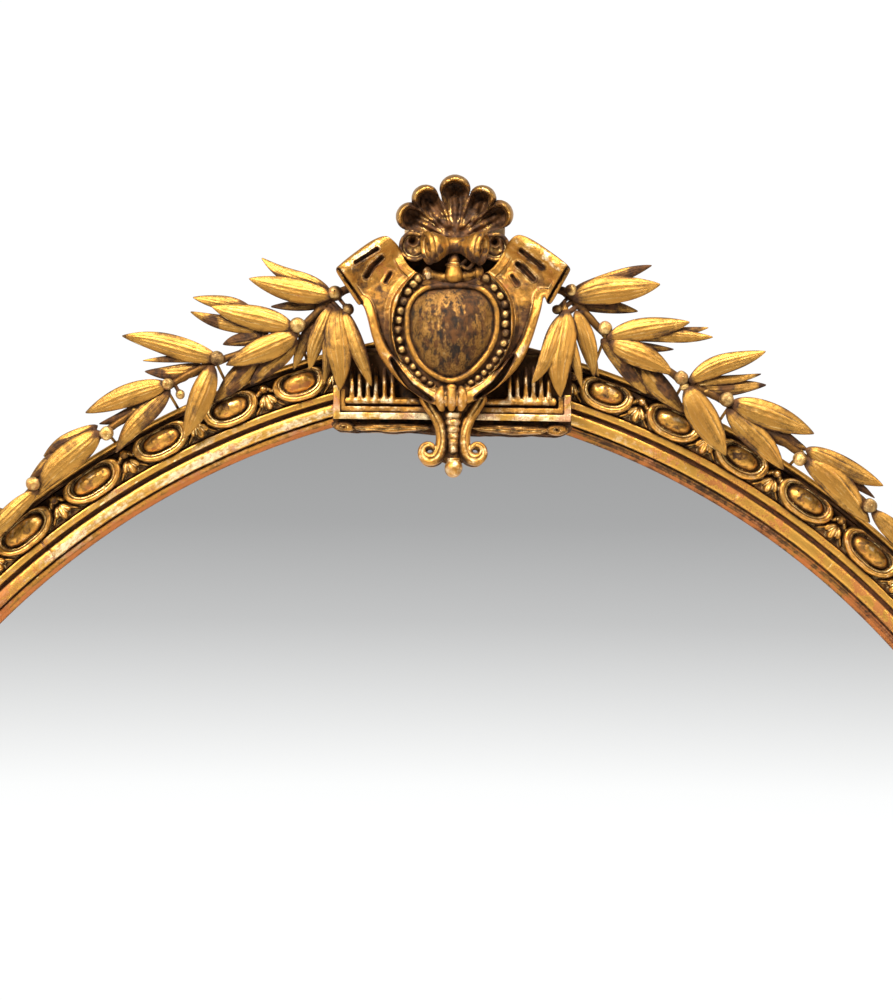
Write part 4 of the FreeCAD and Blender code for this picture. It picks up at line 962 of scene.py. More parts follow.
# ------------------------------------------------------------------ tubes and round pieces
def tube(P, R, sides=12, seed=0, rough=0.0, closed=False):
    P = np.asarray(P, float)
    n = len(P)
    R = np.broadcast_to(np.asarray(R, float), (n,))
    T = np.gradient(P, axis=0) if not closed else np.roll(P, -1, 0) - np.roll(P, 1, 0)
    T /= np.linalg.norm(T, axis=1)[:, None] + 1e-12
    up = np.array([0.13, -1.0, 0.21])
    N1 = np.cross(T, up)
    N1 /= np.linalg.norm(N1, axis=1)[:, None] + 1e-12
    N2 = np.cross(T, N1)
    a = np.linspace(0, 2 * math.pi, sides, endpoint=False)
    V = P[:, None] + R[:, None, None] * (np.cos(a)[None, :, None] * N1[:, None] + np.sin(a)[None, :, None] * N2[:, None])
    if rough:
        k = noise(V[..., 0] + seed * 13, V[..., 1], V[..., 2], 5.0) - 0.5
        V = V + (V - P[:, None]) * (k * rough)[..., None]
    i = np.arange(n if closed else n - 1)[:, None]
    j = np.arange(sides)[None, :]
    i2, j2 = (i + 1) % n, (j + 1) % sides
    Q = np.stack([i * sides + j + 0 * i2, i * sides + j2, i2 * sides + j2, i2 * sides + j], -1).reshape(-1, 4)
    f = [Q[:, ::-1]]
    if not closed:
        f += [np.arange(sides)[None, :], (np.arange(sides)[::-1] + (n - 1) * sides)[None, :]]
    return V.reshape(-1, 3), f


def blob(c, r, seed=0, rough=0.06, n=14, m=20, sq=(1, 1, 1)):
    th = np.linspace(0, math.pi, n)[1:-1]
    ph = np.linspace(0, 2 * math.pi, m, endpoint=False)
    TH, PH = np.meshgrid(th, ph, indexing="ij")
    D = np.stack([np.sin(TH) * np.cos(PH), np.cos(TH), np.sin(TH) * np.sin(PH)], -1).reshape(-1, 3)
    D = np.vstack([D, [[0, 1, 0], [0, -1, 0]]])
    c = np.asarray(c, float)
    V = D * r * np.asarray(sq, float)
    k = noise(V[:, 0] + seed * 17.0 + 40, V[:, 1] + 9, V[:, 2] + seed, max(r * 0.8, 1.0)) - 0.5
    V = V * (1 + rough * 2 * k)[:, None] + c
    i = np.arange(n - 3)[:, None]
    j = np.arange(m)[None, :]
    j2 = (j + 1) % m
    Q = np.stack([i * m + j, i * m + j2, (i + 1) * m + j2, (i + 1) * m + j], -1).reshape(-1, 4)
    a, b = len(V) - 2, len(V) - 1
    jj = np.arange(m)
    t0 = np.stack([np.full(m, a), (jj + 1) % m, jj], -1)
    t1 = np.stack([np.full(m, b), (n - 3) * m + jj, (n - 3) * m + (jj + 1) % m], -1)
    return V, [Q, t0, t1]


class Bag:
    def __init__(s):
        s.V, s.F, s.D, s.R, s.n = [], [], [], [], 0

    def add(s, vf, dark=0.0, red=0.0):
        V, F = vf[:2]
        s.R.append(np.full(len(V), red))
        s.D.append(vf[2] if len(vf) > 2 else np.full(len(V), dark))
        s.V.append(V)
        s.F += [np.asarray(f) + s.n for f in F]
        s.n += len(V)

    def make(s, name, mat, **kw):
        if s.D:
            kw["dark"] = np.concatenate([d for d in s.D])
            kw["red"] = np.concatenate(s.R)
        by = {}
        for f in s.F:
            by.setdefault(f.shape[1], []).append(f)
        return make(name, np.vstack(s.V), [np.concatenate(v) for v in by.values()], mat, **kw)


# ------------------------------------------------------------------ laurel
def X0(q, hw):
    return q * hw


def leaf(b, t, w, db, dt, seed, nt=44, nq=41):
    rs = np.random.RandomState(seed)
    b = (b[0] - 0.05 * (t[0] - b[0]), b[1] - 0.05 * (t[1] - b[1]))
    w = w * 1.10
    pb, pt = at(b[0], b[1], db), at(t[0], t[1], dt)
    ax = pt - pb
    L = np.linalg.norm(ax)
    ax /= L
    nrm = np.array([0, -1.0, 0]) - ax * (-ax[1])
    nrm /= np.linalg.norm(nrm)
    side = np.cross(nrm, ax)
    tw = rs.uniform(-0.30, 0.30)
    T = np.concatenate([np.linspace(0.0, 0.12, 8)[:-1] ** 1.0, np.linspace(0.12, 0.9, nt - 16), np.linspace(0.9, 1.0, 10)[1:]])
    T = np.clip(T, 0.002, 0.998)
    S = T ** 0.62 * (1 - T) ** 0.86
    S = S / S.max()
    hw = 0.5 * w * S + 0.35
    qt = np.sin(np.linspace(-1, 1, nq) * math.pi / 2)
    qb = np.sin(np.linspace(1, -1, 13)[1:-1] * math.pi / 2)
    q = np.concatenate([qt, qb])
    top = np.concatenate([np.ones(nq, bool), np.zeros(len(qb), bool)])
    TT, QQ = np.meshgrid(T, q, indexing="ij")
    HW = np.repeat(hw[:, None], len(q), 1)
    fade = step(0.0, 0.16, TT) * step(1.0, 0.80, TT)
    cr = rs.uniform(0.30, 0.46)
    crown = HW * cr * (1 - QQ ** 2) ** 0.75
    aq = np.abs(QQ)
    ofs = 0.05 * np.sin(TT * 3 + seed)
    k1, k2 = rs.uniform(0.36, 0.48), rs.uniform(0.62, 0.76)
    lines = 0.9 * np.exp(-((aq - 0.05) / 0.028) ** 2) + 0.55 * np.exp(-((QQ + k1 * 0.8 - ofs) / 0.028) ** 2) + 0.75 * np.exp(-((QQ - k1 + ofs) / 0.032) ** 2) + 0.6 * np.exp(-((QQ + k2 - ofs) / 0.035) ** 2)
    vein = 0.72 * lines - 0.30 * np.exp(-((aq - 0.19) / 0.12) ** 2)
    vein = vein * fade * np.clip(HW / 9.0, 0.15, 1.2)
    dirt_and_shade = lines * fade * 0.75 * (0.45 + 0.7 * noise(TT * 10 + seed, 0 * QQ, 0 * TT + seed, 3.0))
    dirt_and_shade = dirt_and_shade + 0.75 * step(0.13, 0.0, TT) + 0.25 * step(0.9, 1.0, TT)
    blot = noise(TT * L * 0.45 + 19 * seed, X0(QQ, HW) * 1.6, 0 * TT, 10)
    dirt_and_shade = dirt_and_shade + 0.24 * step(0.52, 0.85, blot) + 0.5 * step(0.86, 0.99, aq) * step(0.4, 0.6, noise(TT * L, QQ * 3 + seed, 0 * TT, 12))
    # painted shade: leaves lying further back are darker, and the undersides are dark
    dirt_and_shade = dirt_and_shade + (0.10 + 0.35 * step(0.45, 0.62, blot)) * step(38.5, 33.0, 0.5 * (db + dt)) + 0.20 * step(0.60, 0.95, aq)
    dirt_and_shade = np.where(np.repeat(top[None, :], len(T), 0), dirt_and_shade, 0.85)
    ztop = crown - vein + 0.6
    zbot = crown * 0.62 - 2.1 * np.sqrt(np.clip(1 - QQ ** 2, 0, 1)) - 0.1
    ztop = np.where(aq > 0.995, 0.1, ztop)
    Zl = np.where(np.repeat(top[None, :], len(T), 0), ztop, zbot)
    bow = rs.uniform(0.3, 3.0) * L / 80 * np.sin(math.pi * TT) + rs.uniform(-3.0, 2.0) * L / 80 * TT ** 3
    sway = rs.uniform(-0.045, 0.045) * L * np.sin(math.pi * TT) + rs.uniform(-0.02, 0.02) * L * np.sin(2 * math.pi * TT)
    wave = 0.5 * np.sin(TT * rs.uniform(5, 9) + rs.uniform(0, 6)) * QQ
    a = tw * (TT - 0.2) * 1.6
    X = QQ * HW
    Xr, Zr = X * np.cos(a) - Zl * np.sin(a), X * np.sin(a) + Zl * np.cos(a)
    Zr = Zr + bow + wave
    V = pb + (TT * L)[..., None] * ax + (Xr + sway)[..., None] * side + Zr[..., None] * nrm
    V = V + ((noise(V[..., 0] + 31 * seed, V[..., 1], V[..., 2], 6.0) - 0.5) * 0.55)[..., None] * nrm
    n, m = len(T), len(q)
    i = np.arange(n - 1)[:, None]
    j = np.arange(m)[None, :]
    j2 = (j + 1) % m
    Q = np.stack([i * m + j, i * m + j2, (i + 1) * m + j2, (i + 1) * m + j], -1).reshape(-1, 4)
    return V.reshape(-1, 3), [Q, np.arange(m)[::-1][None, :], (np.arange(m) + (n - 1) * m)[None, :]], dirt_and_shade.ravel()


LEFT = {
    "crest": [((327, 290), (261.5, 258), 14, 36, 33), ((328, 296), (249, 278.5), 21, 42, 38), ((327, 304), (271, 306.6), 10, 32, 29),
              ((338, 310), (339.6, 390.4), 23, 42, 48), ((345, 313.5), (371.4, 385.8), 15, 44, 51), ((336, 311), (324, 383.5), 13, 39.5, 39.5),
              ((329, 310), (309.7, 369.7), 16, 42, 36), ((318, 320), (293.6, 369.7), 12, 33, 29)],
    "upper": [((290, 327), (212, 306.6), 22, 42, 37), ((250, 310), (193, 297.4), 13, 34, 29), ((265, 332), (190.3, 311.7), 14, 35, 31),
              ((294.8, 335.3), (226, 365), 22, 41, 38), ((260, 334), (223, 344.5), 12, 36, 31), ((294.8, 341), (250, 384.6), 16, 34, 31),
              ((259, 357), (215, 401.5), 19, 29.5, 27)],
    "middle": [((214, 358), (121.8, 335.7), 20, 42, 37), ((214, 361), (143, 360.7), 7, 37, 33), ((205, 368), (145, 371.5), 14, 34, 30),
               ((211.8, 368.8), (183.6, 438.2), 22, 41, 36), ((164, 385), (85, 412.7), 20, 42, 37), ((163, 396), (99.6, 424), 12, 35, 31),
               ((167.3, 391.6), (115.8, 452.8), 18, 39, 34)],
}
RIGHT = {
    "crest": [((577.8, 288.2), (651.9, 265.3), 13, 36, 33), ((575.5, 297.4), (660.5, 284.2), 25, 42, 38), ((574.4, 304.3), (638, 311.2), 13, 32, 29),
              ((565.2, 313.5), (560.6, 397.3), 24, 42, 48), ((563, 316), (531.9, 383.5), 16, 44, 51), ((565, 304), (581.8, 388), 12, 39.5, 39.5),
              ((576.7, 313.5), (594.5, 376.6), 16, 41, 36), ((580, 320), (598.5, 376.6), 10, 33, 29)],
    "upper": [((611, 337), (689.5, 322.4), 20, 42, 37), ((620, 334), (708.5, 327.6), 11, 35, 30), ((630, 338), (712.5, 337.3), 14, 37, 33),
              ((620, 343.6), (673.5, 349.4), 8, 35, 31), ((612.6, 343.6), (673.5, 374.6), 22, 41, 38), ((603.4, 341.3), (647, 394), 18, 34, 31),
              ((638, 360.5), (684, 412.5), 20, 29.5, 27)],
    "middle": [((691.8, 380.4), (765.3, 351.7), 18, 42, 37), ((694, 384), (761.3, 374), 8, 37, 33), ((697.6, 387), (766.5, 385), 14, 34, 30),
               ((688.2, 389.5), (726, 455.5), 26, 41, 36), ((735.3, 403.3), (813.9, 433.7), 24, 42, 37), ((743, 418), (808, 450.4), 16, 35, 31),
               ((729.5, 411.3), (783.5, 469.9), 22, 39, 34)],
}
BERRY_L = {"crest": [((335, 293.4), 6.3, 40), ((348, 309.5), 5, 42)], "upper": [((297.7, 325), 6.5, 42)],
           "middle": [((217, 358), 6, 42), ((180.3, 394.3), 4, 38), ((167.5, 384), 5, 42)]}
BERRY_R = {"crest": [((571, 290.5), 5.5, 40), ((557, 309.5), 4, 42)], "upper": [((605.4, 328.4), 6, 40)],
           "middle": [((681.5, 378), 6, 42), ((684.4, 386), 4, 40), ((726.7, 399.8), 6.5, 41)]}
STEM_L = [(366, 282), (352, 287), (335, 296), (297, 330), (256, 348), (216, 362), (190, 374), (166, 388), (136, 411), (106, 431), (70, 458), (34, 487)]
STEM_R = [(542, 283), (556, 289), (571, 297), (606, 334), (648, 356), (684, 382), (706, 392), (730, 405), (764, 428), (800, 454), (836, 480), (870, 507)]
STEM_D = [32, 33, 35, 36, 36, 36, 36, 36, 36, 36, 36, 36]
TAIL_ANG = [48.6, 43.2, 38.2, 33.6, 29.4]
TAIL_R = [100, 98, 95, 92, 89]
TAIL_S = [1.0, 0.95, 0.88, 0.8, 0.72]
LOW_L = [((95, 427), (44, 456.4), 12, 36, 32), ((97, 434), (36.4, 495.3), 24, 41, 36), ((64, 453), (29, 481), 14, 34, 30), ((34.4, 492.7), (-33, 552), 16, 40, 35)]
LOW_R = [((809.4, 450.5), (882.9, 485.7), 20, 41, 37), ((807, 461), (869.9, 522.5), 25, 40, 35), ((812, 458), (875, 498), 10, 35, 31), ((874.5, 513.3), (931, 574), 18, 40, 35)]
LOWB_L = [((106.6, 433.3), 6, 41), ((33, 483.8), 6, 41)]
LOWB_R = [((800, 459), 6, 41), ((869.9, 505.6), 6, 41)]


def on_arc(side, ang, r):
    x, z = arc_xz(r, math.radians(ang))
    x = x if side < 0 else -x
    s = (Y_FACE - 36 - Y_VIEW) / VIEW_D
    a_, b_ = (x - X_VIEW) / s, -(z - Z_VIEW) / s
    return (U0 + a_ * CR - b_ * SR, V0 + a_ * SR + b_ * CR)


def tail(side):
    leaves, berries, stem = [], [], []
    for i, (a_, r_, k) in enumerate(zip(TAIL_ANG, TAIL_R, TAIL_S)):
        stem.append(on_arc(side, a_, r_))

        def rel(t, n):
            return on_arc(side, a_ - math.degrees(t / (R_SIGHT + r_)), r_ + n)

        leaves.append((rel(2, 2), rel(84 * k, 13 * k), 20 * k, 41, 37))
        leaves.append((rel(3, -4), rel(70 * k, -34 * k), 20 * k, 40, 34))
        leaves.append((rel(6, 1), rel(66 * k, -8 * k), 12 * k, 34, 30))
        if i % 2 == 0:
            leaves.append((rel(4, 5), rel(48 * k, 36 * k), 13 * k, 35, 31))
        else:
            leaves.append((rel(2, -6), rel(46 * k, -50 * k), 18 * k, 38, 32))
        berries.append((rel(-2, 3), 6 * k, 41))
    leaves.append((stem[-1], on_arc(side, TAIL_ANG[-1] - 5.0, TAIL_R[-1] - 8), 12, 36, 33))
    return leaves, berries, stem


def nearest(path, p):
    a, b = path[:-1], path[1:]
    ab = b - a
    t = np.clip(((p - a) * ab).sum(1) / (ab * ab).sum(1), 0, 1)
    q = a + ab * t[:, None]
    return q[np.argmin(((q - p) ** 2).sum(1))]


seed = 3
for sd, tab, bt, st, low, lowb, sn in ((-1, LEFT, BERRY_L, STEM_L, LOW_L, LOWB_L, "left"), (1, RIGHT, BERRY_R, STEM_R, LOW_R, LOWB_R, "right")):
    tl, tb, ts = tail(sd)
    bend = (9, 511) if sd < 0 else (891, 529)
    path = np.array([at(u, v, dd) for (u, v), dd in zip(st, STEM_D)] + [at(*bend, 35)] + [at(u, v, 36) for u, v in ts])
    sp = spline(path, 10)
    rad = np.linspace(4.3, 2.6, len(sp)) * (1 + 0.28 * (noise(np.arange(len(sp)), 0 * sp[:, 0], 0 * sp[:, 0] + sd, 3.0) - 0.4))
    bag = Bag()
    bag.add(tube(sp, rad, 16, seed=sd + 3, rough=0.4))
    for i, kp in enumerate(path[1:-1]):
        bag.add(blob(kp, 3.9, seed=i + 60, rough=0.22, sq=(1.15, 0.95, 1)))
    bag.make("branch_stem_" + sn, M_STEM, node=sn + "_branch_stem", slot="dark_gilt")
    groups = {"crest": (tab["crest"], bt["crest"]), "upper": (tab["upper"], bt["upper"]), "middle": (tab["middle"], bt["middle"]), "lower": (low + tl, lowb + tb)}
    for g, (lv, br) in groups.items():
        bag = Bag()
        for b_, t_, w_, db, dt in lv:
            seed += 1
            bag.add(leaf(b_, t_, w_, db, dt, seed))
            p = at(b_[0] + 0.04 * (t_[0] - b_[0]), b_[1] + 0.04 * (t_[1] - b_[1]), db + 0.04 * (dt - db))
            q = nearest(sp, p)
            if np.linalg.norm(p - q) > 2:
                e = at(b_[0] + 0.10 * (t_[0] - b_[0]), b_[1] + 0.10 * (t_[1] - b_[1]), db)
                c = spline(np.array([q, 0.5 * (q + p) + [0, -0.6, 0.6], p, e]), 6)
                bag.add(tube(c, np.linspace(2.6, 1.8, len(c)), 10, seed=seed, rough=0.3), 0.7)
        for (u, v), r_, dd in br:
            seed += 1
            p = at(u, v, dd)
            bag.add(blob(p, r_ * 1.18, seed=seed, rough=0.09, n=20, m=28), 0.42 + 0.16 * (seed % 3 - 1), 0.34)
            q = nearest(sp, p)
            ax = (q - p) / (np.linalg.norm(q - p) + 1e-9)
            bag.add(tube(np.array([p + ax * r_ * 0.75, p + ax * r_ * 1.15, p + ax * r_ * 1.35]), np.array([0.66, 0.60, 0.32]) * r_, 16, seed=seed, rough=0.3), 0.6, 0.2)
            # the small eye at the free end
            bag.add(blob(p - ax * r_ * 1.12, r_ * 0.17, seed=seed, n=8, m=12), 0.45)
            if np.linalg.norm(p - q) > r_:
                c = np.array([q, 0.5 * (q + p), p])
                bag.add(tube(c, [2.1, 1.9, 1.9], 10, seed=seed), 0.7)
        bag.make("spray_%s_%s" % (g, sn), M_LEAF, node="%s_spray_%s" % (sn, g), slot="leaf_gilt")


# ------------------------------------------------------------------ crest ornament, carved on a grid of front view u, v and depth d
HQ = 0.75


def carve(name, vol, mat, node, slot, n=2, k=0.5, dirt_and_shade=None, clay=None, pale=None):
    P, Q = vol.mesh(n, k)
    V = at(P[:, 0], P[:, 1], P[:, 2])
    # the function passed in gives the dark attribute: dirt, with painted shade and painted shadow
    dk = None if dirt_and_shade is None else dirt_and_shade(P[:, 0], P[:, 1], P[:, 2])
    rd = None if clay is None else clay(P[:, 0], P[:, 1], P[:, 2])
    pl = None if pale is None else pale(P[:, 0], P[:, 1], P[:, 2])
    if len(Q) == 0:
        raise RuntimeError("nothing carved for " + name)
    return make(name, V, [Q], mat, node=node, slot=slot, dark=dk, red=rd, pale=pl)


def relief(lo, hi, h, Hf, sdf, back, under=0.0):
    """Carved face Hf(u, v) inside the outline sdf(u, v) < 0, flat at the back."""
    vol = Vol(lo, hi, h)
    U, V = np.meshgrid(vol.ax[0].astype(float), vol.ax[1].astype(float), indexing="ij")
    H, S = Hf(U, V), sdf(U, V)
    Z = vol.ax[2][None, None, :]
    # rounded arris between the face and the sides
    vol.F[:] = smax(np.maximum(Z - H[..., None], back - Z), S[..., None] + under * np.clip(60 - Z, 0, None), 1.6).astype(f4)
    return vol


def rough2(U, V, k, a1, s1, a2, s2):
    return a1 * (noise(U, V, k + 0 * U, s1) - 0.5) + a2 * (noise(U, V, k + 5 + 0 * U, s2) - 0.5)


# shell: seven hooded lobes
HUB = np.array([455.0, 240.0])
LOBES = [((455, 190), 15.8), ((425.5, 198.5), 14.3), ((482.5, 199), 14.3), ((410, 216.5), 15), ((499, 214.5), 15.3), ((414.5, 246), 16.5), ((495.5, 247), 15.5)]


def shell_fields(U, V):
    fs, ts, qs = [], [], []
    for (cx, cy), R in LOBES:
        ab = np.array([cx, cy]) - HUB
        L = np.hypot(*ab)
        ab = ab / L
        wx, wy = U - HUB[0], V - HUB[1]
        t = (wx * ab[0] + wy * ab[1]) / L
        tc_ = np.clip(t, 0, 1)
        r = 4.5 + (R - 4.5) * tc_ ** 0.8
        dx, dy = wx - tc_ * L * ab[0], wy - tc_ * L * ab[1]
        fs.append(np.hypot(dx, dy) - r)
        ts.append(np.clip((wx * ab[0] + wy * ab[1]) / (L + R), 0, 1))
        qs.append((wx * ab[1] - wy * ab[0]) / np.maximum(r, 1))
    F = np.array(fs)
    F[0] -= 0.6
    F[1:3] -= 0.4
    o = np.sort(F, 0)
    w = np.argmin(F, 0)
    T = np.take_along_axis(np.array(ts), w[None], 0)[0]
    Qq = np.take_along_axis(np.array(qs), w[None], 0)[0]
    return o[0], o[1], w, T, Qq


def shell_H(U, V):
    f0, f1, w, T, q = shell_fields(U, V)
    e = -f0
    mid = (f1 - f0) / 1.7
    eb = np.minimum(e, mid)
    tip = step(0.66, 0.95, T)
    # low arrises between the lobes, thick hoods over their ends
    wr = 1.1 + 4.9 * tip
    rim = hump(np.clip(eb - wr * 0.95, -wr, wr), wr)
    rim = np.where(eb < wr * 1.95, rim, 0)
    lift = 3.2 + 13.4 * tip
    bowl = 52.5 - 7.5 * step(0.40, 0.82, T) * np.clip(1 - q * q, 0, 1) + 3.5 * (1 - step(0.0, 0.35, T))
    ribs = 1.6 * np.cos(q * 8.0) * step(0.16, 0.35, T) * step(0.86, 0.62, T)
    H = bowl + ribs + (51.0 + lift - bowl) * rim
    # small bosses above the spool
    H = H + 5.0 * np.exp(-(((np.abs(U - 455) % 13.5 - 6.7) / 3.6) ** 2) - ((V - 226 + 0.02 * (U - 455) ** 2) / 4.2) ** 2) * (np.abs(U - 455) < 34)
    # the two lowest lobes are discs with a round hole
    disc = 55.0 + 2.6 * hump(np.clip(eb - 2.4, -2.4, 2.4), 2.4) * (eb < 4.8) - 1.4 * np.exp(-((eb - 6.0) / 1.2) ** 2)
    for cx, cy in ((413.0, 241.0), (495.0, 242.0)):
        rr = np.hypot(U - cx, V - cy)
        disc = disc + 1.6 * np.exp(-((rr - 5.2) / 1.8) ** 2) - 11.0 * np.exp(-(rr / 2.9) ** 2)
    H = np.where(w >= 5, disc, H)
    H = H + rough2(U, V, 3, 2.6, 7.0, 1.5, 2.4)
    return H


def shell_dirt_and_shade(u, v, d):
    f0, f1, w, T, q = shell_fields(u, v)
    tip = step(0.66, 0.95, T)
    eb = np.minimum(-f0, (f1 - f0) / 1.7)
    # painted shade inside the hooded bowls, left lighter in mottled patches, and along the low arrises between the
    # lobes
    inside = step(0.5 + 8.2 * tip, 2.0 + 9.6 * tip, eb)
    f = noise(u, v, 0 * u + 8, 8) * 0.6 + noise(u, v, 0 * u, 2.6) * 0.4
    pale = step(0.50, 0.62, f) * step(0.92, 0.60, T)
    dk = inside * (0.92 - 0.62 * pale)
    dk = np.maximum(dk, (1 - tip) * (0.72 - 0.45 * pale))
    hole = np.minimum(np.hypot(u - 413, v - 241), np.hypot(u - 495, v - 242))
    # the discs: blotches, and painted shade in the round holes
    dk = np.where(w >= 5, 0.30 * step(0.45, 0.62, f) + 0.9 * step(4.2, 2.8, hole), dk)
    # painted shade, 0.7, on the back and outside the outline
    return np.where((d < 46) | (f0 > 0.6), 0.7, dk)


# pale on the highest parts of the hoods: partly rubbed wear, partly painted highlight
carve("shell", relief((393, 170, 38.5), (516, 268, 69), HQ, shell_H, lambda U, V: shell_fields(U, V)[0], 40.0, 0.17), M_SHELL, "shell", "aged_gilt", 1, 0.4, dirt_and_shade=shell_dirt_and_shade,
      pale=lambda u, v, d: 0.30 * step(61, 65.5, d) * (0.3 + 1.1 * noise(u, v, 0 * u + 70, 6)))


# scroll spool under the shell
def lathe(vol, a, b, prof, k=0.0, mode="add"):
    """prof(t, rho) gives the distance for t along a to b in mm, rho from the axis."""
    a, b = np.asarray(a, float), np.asarray(b, float)
    L = np.linalg.norm(b - a)
    ax = (b - a) / L

    def fn(X, Y, Z):
        t = (X - a[0]) * ax[0] + (Y - a[1]) * ax[1] + (Z - a[2]) * ax[2]
        q = (X - a[0]) ** 2 + (Y - a[1]) ** 2 + (Z - a[2]) ** 2 - t * t
        return prof(t, np.sqrt(np.clip(q, 0, None)), L)
    return vol.apply(fn, k=k, mode=mode)


sp_ = Vol((404, 222, 40), (507, 272, 85.6), HQ * 0.85)
for sg, end in ((-1, (427.5, 248.0, 70.0)), (1, (482.5, 248.5, 70.0))):
    a0 = np.array([455.0, 244.5, 60.0])
    ax_ = np.array(end) - a0
    L_ = np.linalg.norm(ax_)
    ax_ /= L_
    e1 = np.cross(ax_, [0, 0, 1.0])
    e1 /= np.linalg.norm(e1)
    e2 = np.cross(ax_, e1)

    def horn(X, Y, Z, a0=a0, ax_=ax_, L_=L_, e1=e1, e2=e2, sg=sg):
        dx, dy, dz = X - a0[0], Y - a0[1], Z - a0[2]
        t = dx * ax_[0] + dy * ax_[1] + dz * ax_[2]
        p, q = dx * e1[0] + dy * e1[1] + dz * e1[2], dx * e2[0] + dy * e2[1] + dz * e2[2]
        rho = np.sqrt(p * p + q * q)
        x = np.clip(t / L_, -0.1, 1.05)
        r = 6.8 + 9.8 * step(0.06, 0.92, x) + 0.5 * np.exp(-((x - 0.34) / 0.05) ** 2) - 1.0 * np.exp(-((x - 0.86) / 0.06) ** 2)
        # rolled lip
        lip = np.sqrt((rho - 14.4) ** 2 + (t - L_ + 0.5) ** 2) - 2.6
        # the end face with its turn
        th = np.arctan2(q, p) * sg
        turn = rho - 3.4 - 7.0 * ((th + math.pi) / (2 * math.pi))
        g = 3.6 * np.exp(-(turn / 1.7) ** 2) * (rho < 12.5)
        eye = -2.2 * np.exp(-(rho / 2.2) ** 2)
        face = t - (L_ - 0.6 - g - eye - 1.2 * np.clip(1 - rho / 13, 0, 1))
        body = np.maximum(np.maximum((rho - r) * 0.85, face), -t - 1.0)
        return smin(body, lip, 1.2)
    sp_.apply(horn, k=1.0)
sp_.tube([(446, 246.0, 60), (464, 246.0, 60)], 7.4, 3.0)
# painted shade on the lower half of the spool, deeper at the middle, with darker blotches
carve("scroll_spool", sp_, M_CREST, "scroll_spool", "aged_gilt", 1, 0.4,
      dirt_and_shade=lambda u, v, d: 0.42 * step(248, 260, v) + 0.60 * step(12, 6, np.abs(u - 455)) * step(243.5, 249, v) + 0.42 * step(0.48, 0.66, noise(u, v, d, 5)))

# turned drop with its bar, under the spool
dr = Vol((418, 250, 38.8), (488, 294, 72), HQ * 0.8)
dr.tube([(453.8, 256, 58), (453.8, 261, 60.5)], [4.6, 6.6], 0.5)
dr.ell((453.8, 264.5, 61), (8.8, 2.4, 7.8), 0.4)
dr.tube([(453.8, 267.5, 60.5), (453.8, 275, 60)], [7.4, 9.4], 0.4)
dr.ell((453.8, 277.5, 59), (10.2, 2.6, 8.4), 0.5)
dr.tube([(430, 277.0, 52), (441, 279.5, 53.5), (453, 280.5, 54), (466, 279, 53.5), (478, 275.5, 52)], [5.6, 6.2, 6.4, 6.2, 5.6], 1.0)
for p0, p1 in (((429, 273.5, 56), (444, 277.5, 56.5)), ((478, 272, 56), (463, 276.5, 56.5))):
    dr.tube([p0, p1], [4.2, 5.0], 0.8)
for kx, ky in ((427.5, 274), (478.8, 272.5)):
    dr.ell((kx, ky, 57.5), (5.0, 7.4, 5.8), 0.6)
hk = spline([(468, 256, 60), (473, 262, 62.5), (468, 268.5, 63.5), (462.0, 265, 62.5), (466, 260.5, 60)], 8)
dr.tube(hk, 1.8, 0.4)
# painted shadow along the underside of the bar and painted shade on the parts lying further back; darker bar ends and
# upper part of the bell; painted highlight on the left knob
carve("turned_drop", dr, M_CREST, "turned_drop", "aged_gilt", 1, 0.4, dirt_and_shade=lambda u, v, d: 0.8 * step(281.5, 284.5, v) + 0.5 * step(54, 49, d) + 0.14 * (np.abs(u - 453.8) > 11) + 0.24 * (np.abs(u - 453.8) < 10) * step(276, 268, v),
      pale=lambda u, v, d: 0.5 * (np.abs(u - 427.5) < 5) * (d > 59))

# ---- cartouche
th_ = np.linspace(0, 2 * math.pi, 120, endpoint=False)
BOSS = np.array([(434, 283.5), (420.9, 287.4), (411, 296.5), (405.6, 307.9), (404.6, 324.2), (405.6, 338.5), (410.7, 352.8), (419.9, 367), (433.2, 377.2), (450, 383.4), (467.9, 377.2),
                 (482.1, 365.0), (492.3, 350.7), (498.5, 334.4), (499.5, 316), (496.4, 301.7), (487.2, 289.8), (474, 284.0), (454, 282.4)])
BOSS = spline([tuple(q_ + (np.array([452.0, 331.0]) - q_) * 6.0 / np.hypot(*(np.array([452.0, 331.0]) - q_))) for q_ in BOSS], 6, closed=True)
SHIELD = spline([(336, 270), (341, 263.5), (356, 251.5), (372, 240.5), (384, 236), (391, 238.5), (399, 247), (404, 258), (411, 268), (424, 276), (438, 281),
                 (453, 283), (468, 281), (482, 275), (494, 266), (502, 255), (508, 243), (514, 236.5), (521, 235), (533, 240), (549, 250.5), (563, 261), (570, 268),
                 (568.5, 274), (560, 289), (552, 302.5), (547.5, 303.5), (544, 297), (541, 310), (537, 324), (531.5, 341), (524.5, 357), (516, 370), (505, 381), (494, 390), (483, 396.5),
                 (470, 403), (457, 407), (445, 407), (432, 404), (422, 399), (413, 392.5), (403, 385), (394, 376), (385.5, 365), (378, 353), (372, 337), (368, 321), (364.5, 309),
                 (361.5, 304.5), (358, 304.5), (350, 293), (342, 281)], 6, closed=True)


BEADS_L = [(418, 279), (413, 284), (407.6, 291.5), (403.6, 301.7), (400.5, 311), (398.5, 320), (398, 330), (399.5, 340.5), (401.5, 349.7), (406.6, 360), (412.8, 367), (417.9, 374), (424, 379.3), (430, 383.4)]
BEADS_R = [(486, 279), (494.4, 287.4), (500.5, 295.6), (504.6, 304.8), (505.6, 315), (505.6, 324), (505.6, 333.4), (503.6, 343.6), (499.5, 352.8), (495.4, 360), (489.3, 367), (484.2, 373), (478, 378), (471, 382.3)]


